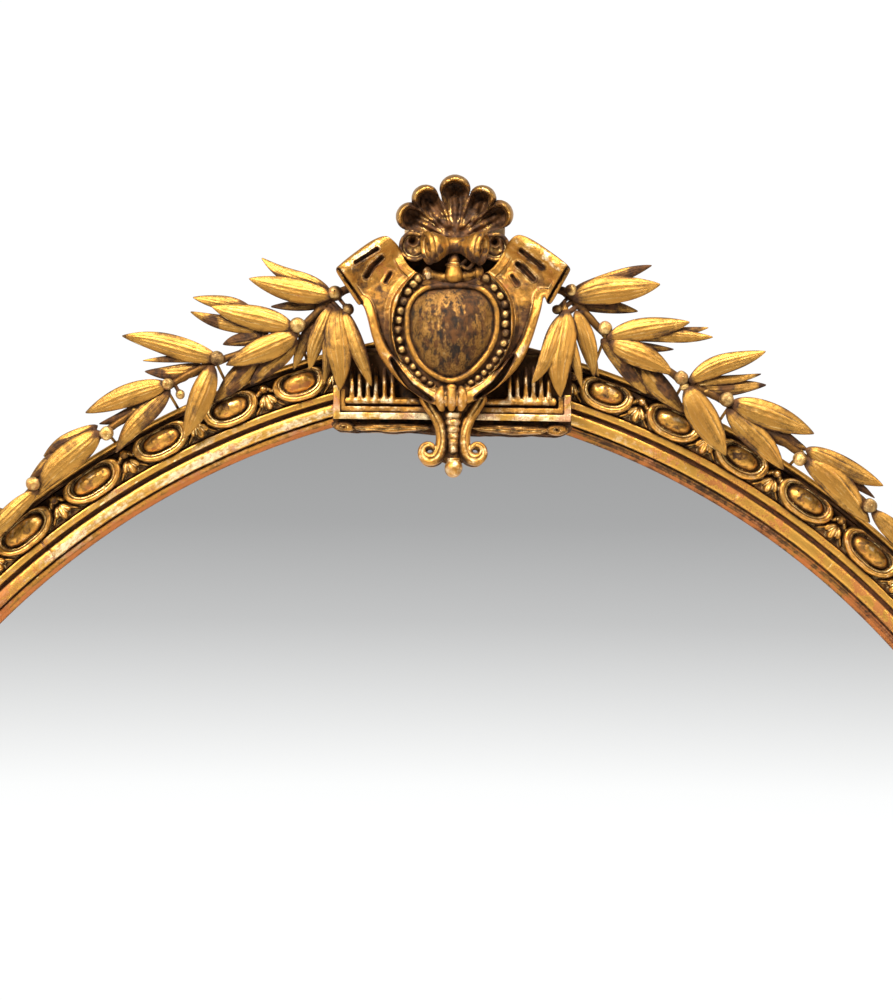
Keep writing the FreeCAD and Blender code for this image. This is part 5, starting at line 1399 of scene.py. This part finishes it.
def cart_H(U, V):
    e = sdpoly(BOSS, U, V)
    eo = -sdpoly(SHIELD, U, V)
    H = np.full(U.shape, 59.0)
    # hollow between the inner band and the outer edge
    cav = np.clip((e - 16) / 10, 0, 1) * np.clip((eo - 3) / 8, 0, 1)
    H = H + 2.0 - 5.0 * cav
    # inner band
    H = np.where((e > 13.6) & (e < 20.6), 60.0 + 6.8 * hump(e - 17.1, 3.5), H)
    # bead channel and seat of the boss
    H = np.where(e <= 13.6, 58.6 - 0.6 * hump(e - 9.8, 3.8), H)
    # outer strap of the lower shield
    low = step(296, 318, V)
    wst = 4.5 + 2.2 * step(325, 375, V)
    H = np.where(eo < 2 * wst, np.maximum(H, 60.5 + (6.6 * hump(eo - wst, wst) ** 0.6) * low), H)
    H = H + 2.2 * np.exp(-((eo - 2 * wst - 0.9) / 0.6) ** 2) * -1.0 * low
    # shoulders: each rises to a ridge and rolls over
    for p0, p1, sg, x0, x1 in (((345.5, 269.0), (384.5, 241.5), -1, 330, 404), ((561.0, 266.5), (520.0, 240.5), 1, 502, 575)):
        p0, p1 = np.array(p0), np.array(p1)
        d = (p1 - p0) / np.hypot(*(p1 - p0))
        nx = np.array([d[1], -d[0]]) * (1 if sg < 0 else -1)        # outwards, up and away from the boss
        s = (U - p0[0]) * nx[0] + (V - p0[1]) * nx[1]
        l = (U - p0[0]) * d[0] + (V - p0[1]) * d[1]
        roll = np.where(s > 0, 72.0 - (9.5 - np.sqrt(np.clip(9.5 ** 2 - s ** 2, 0.5, None))), 54.0 + 18.0 * np.exp(-(np.abs(s) / 15.5) ** 1.7))
        reach = step(30, 14, -s) if False else 1.0
        side = step(x0 + 1, x0 + 8, U) if sg < 0 else step(x1 - 1, x1 - 8, U)
        m = ((U < 412) if sg < 0 else (U > 494)) & (V < 316)
        k = step(316, 296, V) * (step(410, 398, U) if sg < 0 else step(496, 508, U)) * step(-30, -18, s) * 1.0
        far = 60.0 + (roll - 60.0) * k
        # flare towards the rolled end
        fl = 4.2 * np.exp(-((l + 1.0) / 8.0) ** 2) * step(-36, -8, s)
        Hs = far + fl * k
        H = np.where(m & (e > 14), np.maximum(H * (1 - k) + k * Hs, H * (1 - k) + k * Hs), H)
    # run for the beads
    for tab in (BEADS_L, BEADS_R):
        dd, par, _ = along(np.array(tab, float), U, V)
        wb = 5.6 - 1.4 * np.clip(par - 0.4, 0, 1)
        H = np.where(dd < wb, np.minimum(H, 58.6), H)
        H = np.where((dd >= wb) & (dd < wb + 2.2) & (e > 11), np.maximum(H, 60.0 + 2.8 * hump(dd - wb - 1.1, 1.2)), H)
    # end lips with their dark slot
    for q0, q1 in (((337.5, 271.5), (359.5, 303.0)), ((568.5, 270.0), (550.5, 301.5))):
        dd, par, _ = along(np.array([q0, q1]), U, V)
        c = (U < 404) == (q0[0] < 404)
        near = dd < 8
        lipH = 66.5 - 9.5 * par
        H = np.where(near & c & (dd > 3.9) & (dd < 7.6), np.maximum(H, lipH + 1.8 * hump(dd - 5.7, 2.2)), H)
        H = np.where(c & (dd <= 1.7), lipH - 0.5, H)
        H = np.where(c & (dd > 1.7) & (dd < 3.9), H - 11.0 * hump(dd - 2.8, 1.15), H)
    # cut slots
    for pts, w, dp in ((((355.5, 262.5), (377, 249)), 1.7, 5.0), (((366.5, 276.5), (372, 266), (381.5, 257.5)), 2.0, 6.0), (((385.5, 282), (390.5, 273.5)), 1.6, 4.0),
                       (((521, 250.5), (543, 267.5)), 1.8, 5.0), (((517.5, 264), (524, 269), (533.5, 279)), 2.2, 6.0), (((512, 276), (517, 284)), 1.5, 3.6)):
        dd, _, _ = along(np.array(pts), U, V)
        H = H - dp * hump(np.clip(dd, 0, w), w) + 1.1 * np.exp(-((dd - w - 1.3) / 0.9) ** 2)
    # long openings between the inner band and the strap
    for pts in ([(391.5, 359), (400, 373), (411.5, 386.5), (431, 400)], [(513.5, 356), (505.5, 370), (494.5, 384), (476.5, 397.5)]):
        dd, par, _ = along(spline(pts, 8), U, V)
        w = 1.1 + 1.7 * np.sin(math.pi * np.clip(par, 0, 1)) ** 0.7
        H = np.where(dd < w + 0.6, H - 15.0 * np.clip((w + 0.6 - dd) / 1.1, 0, 1), H)
        H = H + 0.9 * np.exp(-((dd - w - 1.9) / 0.9) ** 2)
    H = H + rough2(U, V, 21, 1.5, 15.0, 0.7, 4.5)
    return np.clip(H, 42.5, 74.8)


def cart_dirt_and_shade(u, v, d):
    e = sdpoly(BOSS, u, v)
    eo = -sdpoly(SHIELD, u, v)
    # painted shade in the bead channel behind the beads
    dk = 0.55 * np.exp(-((e - 9.8) / 2.6) ** 2) * (e > 4)
    # painted shade in the long openings, the cut slots and the slots of the end lips
    for pts in ([(391.5, 359), (400, 373), (411.5, 386.5), (431, 400)], [(513.5, 356), (505.5, 370), (494.5, 384), (476.5, 397.5)]):
        dd, par, _ = along(np.array(pts, float), u, v)
        dk = np.maximum(dk, step(4.4, 1.6, dd))
    for pts in (((355.5, 262.5), (377, 249)), ((366.5, 276.5), (381.5, 257.5)), ((521, 250.5), (543, 267.5)), ((517.5, 264), (533.5, 279)), ((385.5, 282), (390.5, 273.5)), ((512, 276), (517, 284))):
        dd, par, _ = along(np.array(pts, float), u, v)
        dk = np.maximum(dk, 0.95 * step(3.0, 1.2, dd))
    for pts in (((337.5, 271.5), (359.5, 303.0)), ((568.5, 270.0), (550.5, 301.5))):
        dd, par, _ = along(np.array(pts, float), u, v)
        dk = np.maximum(dk, 0.95 * step(1.4, 0.2, np.abs(dd - 2.9)))
    # darker blotches in the sweep of the hollow, below the slots
    dk = np.maximum(dk, 0.42 * step(17, 24, e) * step(8, 13, eo) * step(0.42, 0.66, noise(u, v, 0 * u + 4, 13)) * step(262, 285, v))
    # brown below the shoulders' ridges
    fb = noise(u * 1.6, v * 0.6, 0 * u + 31, 9)
    dk = np.maximum(dk, (0.10 + 0.32 * step(0.44, 0.68, fb)) * step(16, 22, e) * step(7, 11, eo) * step(246, 262, v) * step(366, 338, v))
    # painted shadow, black, under the shell and the drop
    dk = np.maximum(dk, 1.0 * step(31, 24, np.hypot((u - 454) * 0.82, v - 262)) * (e > 5.5))
    # painted shade, 0.8, on the back and the sides
    return np.where(d < 47, 0.8, dk)


def cart_clay(u, v, d):
    e = sdpoly(BOSS, u, v)
    return 0.55 * step(17, 24, e) * step(0.35, 0.7, noise(u, v, 0 * u + 14, 24))


def cart_pale(u, v, d):
    # pale leaf on the lower strap, the inner band, the shoulder ridges and the slot lips: partly rubbed wear, partly
    # painted highlight
    e = sdpoly(BOSS, u, v)
    eo = -sdpoly(SHIELD, u, v)
    f = noise(u, v, 0 * u + 24, 6) - 0.5
    wst = 4.5 + 2.2 * step(325, 375, v)
    pl = (0.40 + 1.2 * f) * np.exp(-((eo - wst) / 3.6) ** 2) * step(330, 352, v) + (0.30 + 1.0 * f) * np.exp(-((e - 17.1) / 2.2) ** 2)
    for p0, p1 in (((345.5, 269.0), (384.5, 241.5)), ((561.0, 266.5), (520.0, 240.5))):
        dd, par, _ = along(np.array([p0, p1]), u, v)
        pl = np.maximum(pl, (0.34 + 1.3 * f) * step(7.5, 3.5, dd))
    for pts in (((355.5, 262.5), (377, 249)), ((366.5, 276.5), (372, 266), (381.5, 257.5)), ((521, 250.5), (543, 267.5)), ((517.5, 264), (524, 269), (533.5, 279))):
        dd, par, _ = along(np.array(pts, float), u, v)
        pl = np.maximum(pl, 0.55 * np.exp(-((dd - 3.4) / 0.9) ** 2))
    return pl


carve("cartouche", relief((332, 231, 38.5), (574, 411, 76), HQ, cart_H, lambda U, V: sdpoly(SHIELD, U, V), 40.0), M_CREST, "cartouche_body", "aged_gilt", 1, 0.4,
      dirt_and_shade=cart_dirt_and_shade, clay=cart_clay, pale=cart_pale)

# bead rim round the boss
rm = Vol((395, 279, 56), (507, 387, 69), HQ * 0.8)
Ug, Vg = np.meshgrid(rm.ax[0].astype(float), rm.ax[1].astype(float), indexing="ij")
eg = sdpoly(BOSS, Ug, Vg)
Zg = rm.ax[2][None, None, :]
rm.F[:] = np.minimum(np.sqrt((eg[..., None] - 3.2) ** 2 + (Zg - 62.6) ** 2) - 3.0 - 0.35 * (noise(Ug, Vg, 0 * Ug, 8) - 0.5)[..., None],
                     np.maximum(np.abs(eg[..., None] - 3.2) - 2.6, np.maximum(Zg - 62.6, 58 - Zg))).astype(f4)
# painted shadow of the bar on the top of the rim, over a slight even darkening
carve("boss_rim", rm, M_CREST, "boss_rim", "aged_gilt", 1, 0.4, dirt_and_shade=lambda u, v, d: 0.62 * step(292, 285, v) * step(32, 22, np.abs(u - 454)) + 0.10)


def boss_H(U, V):
    e = sdpoly(BOSS, U, V)
    k = np.clip(1 + e / 41.0, 0, 1)
    H = 62.0 + 19.5 * (1 - k ** 2.2)
    # long shallow strokes of the worn ground
    H = H + 0.9 * (noise(U * 3.0, V * 0.6, 0 * U + 3, 12) - 0.5) + rough2(U, V, 44, 1.6, 9.0, 0.8, 3.0)
    return np.clip(H, 57, 85.2)


# painted shade on the top under the bar, darker right of the middle, and mottled
carve("boss", relief((406, 286, 56.5), (496, 380, 86), HQ, boss_H, lambda U, V: sdpoly(BOSS, U, V) - 1.6, 58.0), M_BOSS, "cartouche_boss", "dark_gilt", 1, 0.4,
      dirt_and_shade=lambda u, v, d: 0.23 + 0.20 * step(302, 288, v) + 0.34 * np.exp(-((u - 463) / 17.0) ** 2 - ((v - 326) / 27.0) ** 2) + 0.52 * step(0.34, 0.66, noise(u * 1.9, v * 0.7, 0 * u, 6) * 0.55 + noise(u * 1.4, v, 0 * u + 2, 3.0) * 0.45) * step(-3, -12, sdpoly(BOSS, u, v)))

bag = Bag()
for tab in (BEADS_L, BEADS_R):
    for i, (u, v) in enumerate(tab):
        r = 4.5 - 1.3 * max(0, i - 4) / 9.0
        bag.add(blob(at(u, v, 60.2), r, seed=i * 3 + int(u), rough=0.10, n=14, m=20), 0.30 + 0.25 * ((i * 7) % 3 == 0))
bag.make("bead_string", M_BEADS, node="bead_string", slot="aged_gilt")

# clasp of three rolls
cl = Vol((428, 382, 56), (474, 414, 73), HQ * 0.75)
for cx, tx, w in ((440.0, 441.5, 5.2), (451.5, 451.5, 5.4), (462.4, 461.0, 5.2)):
    pts = spline([(tx, 388, 62.5), (cx, 394, 64.5), (cx, 401, 64.5), (cx + (451.5 - cx) * 0.15, 408, 62)], 6)
    cl.tube(pts, np.interp(np.linspace(0, 1, len(pts)), [0, 0.3, 0.75, 1], [2.6, w * 0.98, w, 3.6]), 0.0)
cl.ell((451.5, 388, 63), (5.5, 4.5, 4.5), 0.4)
cl.tube([(436, 389.5, 61), (451.5, 393.5, 61), (467, 389.0, 61)], 2.2, 0.5)
# pale on the highest parts of the rolls: partly rubbed wear, partly painted highlight
carve("clasp", cl, M_CREST, "cartouche_clasp", "aged_gilt", 1, 0.4, pale=lambda u, v, d: 0.45 * step(65, 68, d) * (0.1 + noise(u, v, d, 5)))

# ---- pendant: two S straps with volutes
pe = Vol((400, 390, 42.6), (506, 480, 59.6), HQ * 0.75)


def curl(cx, cy, sg):
    """Down the strap, out along the foot and round into the eye."""
    a = np.linspace(0.0, 1.0, 46)
    ang = math.radians(20) + a * math.radians(315)
    r = 9.7 * (1 - 0.50 * a ** 1.1)
    return np.stack([cx - sg * -1 * r * np.cos(ang) * 1.0, cy + r * np.sin(ang)], 1)


for sg, cx, cy, top in ((-1, 429.5, 450.5, [(425, 399), (430, 407), (436.0, 416), (440.6, 426), (442.4, 436), (441.6, 446)]),
                        (1, 475.8, 450.5, [(481.5, 399), (476.5, 407), (470.5, 416), (466.0, 426), (463.8, 436), (464.2, 446)])):
    c = curl(cx, cy, sg)
    if sg > 0:
        c[:, 0] = 2 * cx - c[:, 0]
    c[:, 0] = np.where(True, c[:, 0], c[:, 0])
    if (c[0, 0] - cx) * (-sg) < 0:
        c[:, 0] = 2 * cx - c[:, 0]
    line = np.vstack([np.array(top, float), c])
    line = spline(line[::1], 2)
    n_ = len(line)
    tt = np.linspace(0, 1, n_)
    rad = np.interp(tt, [0, 0.1, 0.33, 0.55, 0.8, 1.0], [5.8, 6.6, 6.4, 4.0, 2.8, 2.0])
    dd_ = np.interp(tt, [0, 0.12, 0.3, 0.6, 1.0], [48.5, 50.0, 51.5, 51.8, 53.5])
    L3 = np.column_stack([line, dd_])
    pe.tube(L3, rad, 0.4)
    G3 = L3.copy()
    G3[:, 2] += rad * 1.02
    pe.tube(G3[:int(n_ * 0.80)], np.clip(rad[:int(n_ * 0.80)] * 0.32, 0.8, 1.8), 0.5, mode="sub")
# web behind the husks
WEB = np.array([(424, 402), (482, 402), (470, 418), (466, 440), (466, 460), (453.5, 466), (441, 460), (441, 440), (437, 418)], float)
Ug, Vg = np.meshgrid(pe.ax[0].astype(float), pe.ax[1].astype(float), indexing="ij")
sw = sdpoly(WEB, Ug, Vg)[..., None]
Zg = pe.ax[2][None, None, :]
pe.F[:] = smin(pe.F, np.maximum(sw, np.maximum(Zg - 49.5, 44 - Zg)), 0.6).astype(f4)
# painted shade on the web behind the straps and the straps' low flanks; pale on the straps' heights, partly rubbed
# wear, partly painted highlight
carve("pendant_console", pe, M_CREST, "pendant_console", "aged_gilt", 1, 0.4, dirt_and_shade=lambda u, v, d: 0.70 * step(49.8, 48.2, d), pale=lambda u, v, d: 0.50 * step(52, 55.5, d) * (0.1 + noise(u, v, d, 6)))

hu = Vol((436, 407, 46), (471, 479, 66), HQ * 0.75)
for v, w in zip((414.5, 422, 429.6, 436.6, 443, 449.2), (17.4, 15.8, 13.6, 12, 10.8, 9.8)):
    hu.apply(lambda X, Y, Z, v=v, w=w: np.maximum((np.sqrt(((X - 453.2) / (w / 2)) ** 2 + ((Y - v) / 6.2) ** 2 + ((Z - 52.0) / 9.5) ** 2) - 1) * 4.0, v - 3.0 - Y - 0.0 * X), k=0.0)
hu.tube([(453.2, 411, 52), (453.5, 462, 52)], [5.0, 3.6], 0.6)
hu.ell((453.6, 467.6, 55.5), (8.9, 8.9, 8.9), 0.5)
hu.apply(lambda X, Y, Z: np.sqrt((np.sqrt((X - 453.6) ** 2 + (Z - 55.5) ** 2) - 5.2) ** 2 + (Y - 459.2) ** 2) - 1.4, k=0.3)
# pale on the highest parts of the husks: partly rubbed wear, partly painted highlight
carve("pendant_husks", hu, M_CREST, "pendant_husks", "aged_gilt", 1, 0.4, pale=lambda u, v, d: 0.62 * step(54, 58, d) * (0.25 + noise(u, v, d, 5)))

# board behind the shell and the cartouche, near black: painted shade
CB = np.array([(378, 300), (392, 262), (404, 246), (455, 232), (506, 246), (516, 262), (530, 300), (526, 345), (512, 372), (455, 398), (396, 372), (384, 345)], float)
carve("crest_board", relief((370, 176, 22.6), (538, 402, 41), HQ * 1.4, lambda U, V: 39.6 + 0 * U, lambda U, V: np.minimum(shell_fields(U, V)[0] + 5.5, sdpoly(CB, U, V)), 24.2),
      M_PAINTED_SHADE, "crest_board", "worn_gilt", 1, 0.4)

# ---- tablet behind the cartouche, near black: painted shade

TAB = np.array([(333.2, 347.5), (571.2, 350.5), (571.2, 423), (571.2, 431.5), (333.2, 427.5)], float)


def tab_H(U, V):
    v0 = 347.5 + 0.0126 * (U - 333)
    return 30.0 + 5.4 * step(v0 + 5.6, v0 + 3.6, V) + rough2(U, V, 9, 0.8, 9.0, 0.3, 2.0)


carve("tablet", relief((331, 345, 22.6), (574, 434, 37), HQ * 1.2, tab_H, lambda U, V: sdpoly(TAB, U, V), 24.2), M_PAINTED_SHADE, "crest_tablet", "aged_gilt", 1, 0.4)


def strip_F(lines, w, lo, hi, h, top, back, ridge=0.0, wob=0.5):
    vol = Vol(lo, hi, h)
    U, V = np.meshgrid(vol.ax[0].astype(float), vol.ax[1].astype(float), indexing="ij")
    D = np.full(U.shape, 1e9)
    for l in lines:
        l = np.asarray(l, float)
        for a, b in zip(l[:-1], l[1:]):
            # square-ended strip
            ax = (b - a) / np.hypot(*(b - a))
            t = (U - a[0]) * ax[0] + (V - a[1]) * ax[1]
            s = (U - a[0]) * ax[1] - (V - a[1]) * ax[0]
            L = np.hypot(*(b - a))
            D = np.minimum(D, np.maximum(np.abs(s) - w, np.maximum(-t - w, t - L - w)))
    H = top + wob * (noise(U, V, 0 * U + 2, 9) - 0.5) * 2 + wob * 0.6 * (noise(U, V, 0 * U + 2, 2.5) - 0.5) - ridge * np.exp(-((D + 0.4) / 0.8) ** 2)
    Z = vol.ax[2][None, None, :]
    vol.F[:] = smax(np.maximum(Z - H[..., None], back - Z), np.broadcast_to((D + 0.35 * (noise(U, V, 0 * U + 6, 7) - 0.5))[..., None], vol.F.shape), 1.2).astype(f4)
    return vol


carve("tablet_edging", strip_F([[(336.6, 388.5), (336.6, 415.4), (452, 416.4), (567.6, 418.4), (567.6, 398.5)]], 3.4,
                               (331, 382, 34.6), (573, 424, 44.6), HQ, 43.4, 36.0), M_BAND, "tablet_edging", "aged_gilt", 1, 0.4,
      pale=lambda u, v, d: 0.10 + 1.0 * noise(u, v, 0 * u, 8), clay=lambda u, v, d: 0.5 * noise(u, v, 0 * u + 50, 14))
carve("tablet_edging_step", strip_F([[(342.2, 392), (342.2, 409.0), (452, 409.8), (561.4, 411.6), (561.4, 400)]], 3.1,
                                    (336, 386, 34.6), (568, 417, 42), HQ, 40.0, 36.0), M_CREST, "tablet_edging", "aged_gilt", 1, 0.4, pale=lambda u, v, d: 0.7 * noise(u, v, 0 * u, 9) - 0.1)


def flute_fields(U, V):
    """Ledge with rounded ends and upright ribs, hollow and round-bottomed between them."""
    out = np.full(U.shape, -9.0)
    led = 41.6 - 0.06 * (V - 402) ** 2
    vl = V - (400.6 + 0.010 * (U - 349))
    q = np.abs(vl)
    out = np.where(q < 3.6, 37 + 5.2 * hump(vl, 3.7), out)
    for xs in ((343.8, 351.9, 359.6, 367.9, 376.0, 384.6, 392.5), (509.5, 517.2, 525.8, 533.5, 541.3, 549.0, 557.0)):
        for x in xs:
            top = step(364, 384, V)
            w = 2.35 + 0.4 * step(385, 396, V) + 1.9 * step(394.5, 400, V)
            dx = np.abs(U - x)
            h = 29.0 + 12.8 * top
            out = np.where((dx < w) & (V < 401.5) & (V > 362), np.maximum(out, h - 3.0 + 3.4 * hump(dx, w)), out)
    inner = (U > 398) & (U < 508)
    return np.where(inner & (V < 396.5), -9.0, out)


def flute_sd(U, V):
    H = flute_fields(U, V)
    return np.where(H > 0, -3.0, 3.0)


fv = Vol((341, 360, 28.4), (560, 408, 43.4), HQ * 0.85)
Ug, Vg = np.meshgrid(fv.ax[0].astype(float), fv.ax[1].astype(float), indexing="ij")
Hf = flute_fields(Ug, Vg)
Hf = np.where(Hf > 0, Hf + 0.5 * (noise(Ug, Vg, 0 * Ug, 3) - 0.5), 20.0)
ends = np.maximum(345.0 + 3.4 * (1 - hump(Vg - 401, 4.5)) - Ug, Ug - 556.5 + 3.4 * (1 - hump(Vg - 402, 4.5)))
Zg = fv.ax[2][None, None, :]
fv.F[:] = np.maximum(np.maximum(Zg - Hf[..., None], 29.2 - Zg), ends[..., None]).astype(f4)
# painted shade in the hollows between the ribs and over their upper part; pale on the rib tops and ledge, partly rubbed
# wear, partly painted highlight
carve("tablet_flutes", fv, M_CREST, "tablet_flutes", "aged_gilt", 1, 0.4, dirt_and_shade=lambda u, v, d: np.clip(step(36.5, 31.0, d) + 0.9 * step(382, 368, v), 0, 1), pale=lambda u, v, d: step(37, 40, d) * (0.05 + 0.75 * noise(u, v, 0 * u, 5)))


def apron_H(U, V):
    H = np.full(U.shape, 32.0)
    mid = 426.9 + 0.014 * (U - 334)
    for x0, x1, flip in ((354, 430, 1), (472, 548, -1)):
        t = (U - x0) / (x1 - x0)
        t = t if flip > 0 else 1 - t
        hw = 5.2 * np.clip(np.sin(math.pi * np.clip(t, 0.001, 0.999)) ** 0.45 * (1.05 - 0.35 * t), 0.01, None)
        dv = V - mid - 0.8 * np.sin(t * 5)
        m = (t > 0) & (t < 1) & (np.abs(dv) < hw)
        lob = 0.7 * np.cos(t * 24 - np.abs(dv) * 0.5)
        H = np.where(m, np.maximum(H, 35 + 6.0 * hump(dv, hw) + lob - 2.2 * np.exp(-((dv - 0.8) / 0.8) ** 2) - 1.2 * np.exp(-((dv + 2.4) / 0.6) ** 2)), H)
    for cx in (344, 557):
        cy = 426.9 + 0.014 * (cx - 334)
        rr = np.hypot((U - cx) / 1.9, V - cy)
        H = np.where(rr < 5.4, np.maximum(H, 34 + 5.5 * hump(rr - 3.0, 2.5) + 3.0 * (rr < 1.6)), H)
    return np.clip(H + rough2(U, V, 30, 1.6, 5.0, 0.8, 2.0), 26, 41.6)


APR = spline([(333.5, 422), (360, 421.8), (400, 422.6), (452, 424), (500, 424.6), (540, 425.2), (569.5, 425.6), (570.5, 431), (563, 435.6), (548, 436.0), (534, 434.8), (518, 436.0), (498, 434.8), (480, 435.0),
              (452, 434.0), (430, 433.4), (412, 431.6), (392, 432.4), (374, 430.6), (356, 431.6), (346, 430.6), (337, 430.0), (333, 427)], 5, closed=True)
carve("tablet_apron", relief((330, 419, 22.6), (573, 441, 42.4), HQ * 0.85, apron_H, lambda U, V: sdpoly(APR, U, V) + 0.6 * (noise(U, V, 0 * U, 6) - 0.5), 24.2), M_CREST, "tablet_apron", "aged_gilt", 1, 0.4, dirt_and_shade=lambda u, v, d: 0.75 * step(33.5, 31.0, d) + 0.30 * noise(u, v, d, 9))

# ------------------------------------------------------------------ finish of the pieces that keep their shape
KEPT_MAT = {
    "left_stile": M_PINE, "right_stile": M_PINE, "bottom_rail": M_PINEX, "left_arch_lower": M_PINE, "right_arch_lower": M_PINE, "left_arch_upper": M_PINEX, "right_arch_upper": M_PINEX,
    "joint_tongues": M_OAK, "rail_pegs": M_OAK, "mirror_plate": M_MIRROR, "glazing_blocks": M_PINE, "small_screws": M_STEEL, "crest_screws": M_STEEL, "wall_pads": M_OAK,
    "crest_board": M_PAINTED_SHADE, "crest_block": M_PINEX, "crest_brace": M_PINEX, "branch_pins": M_STEM, "left_hanger_plate": M_BRASS, "right_hanger_plate": M_BRASS,
    "left_ring": M_BRASS, "right_ring": M_BRASS,
}
for nm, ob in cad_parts.items():
    if ob.hide_render:
        continue
    mt = KEPT_MAT.get(nm, M_BOARDS[sum(map(ord, nm)) % 5] if nm.startswith("back_board") else M_PINE)
    ob.data.materials.clear()
    ob.data.materials.append(mt)
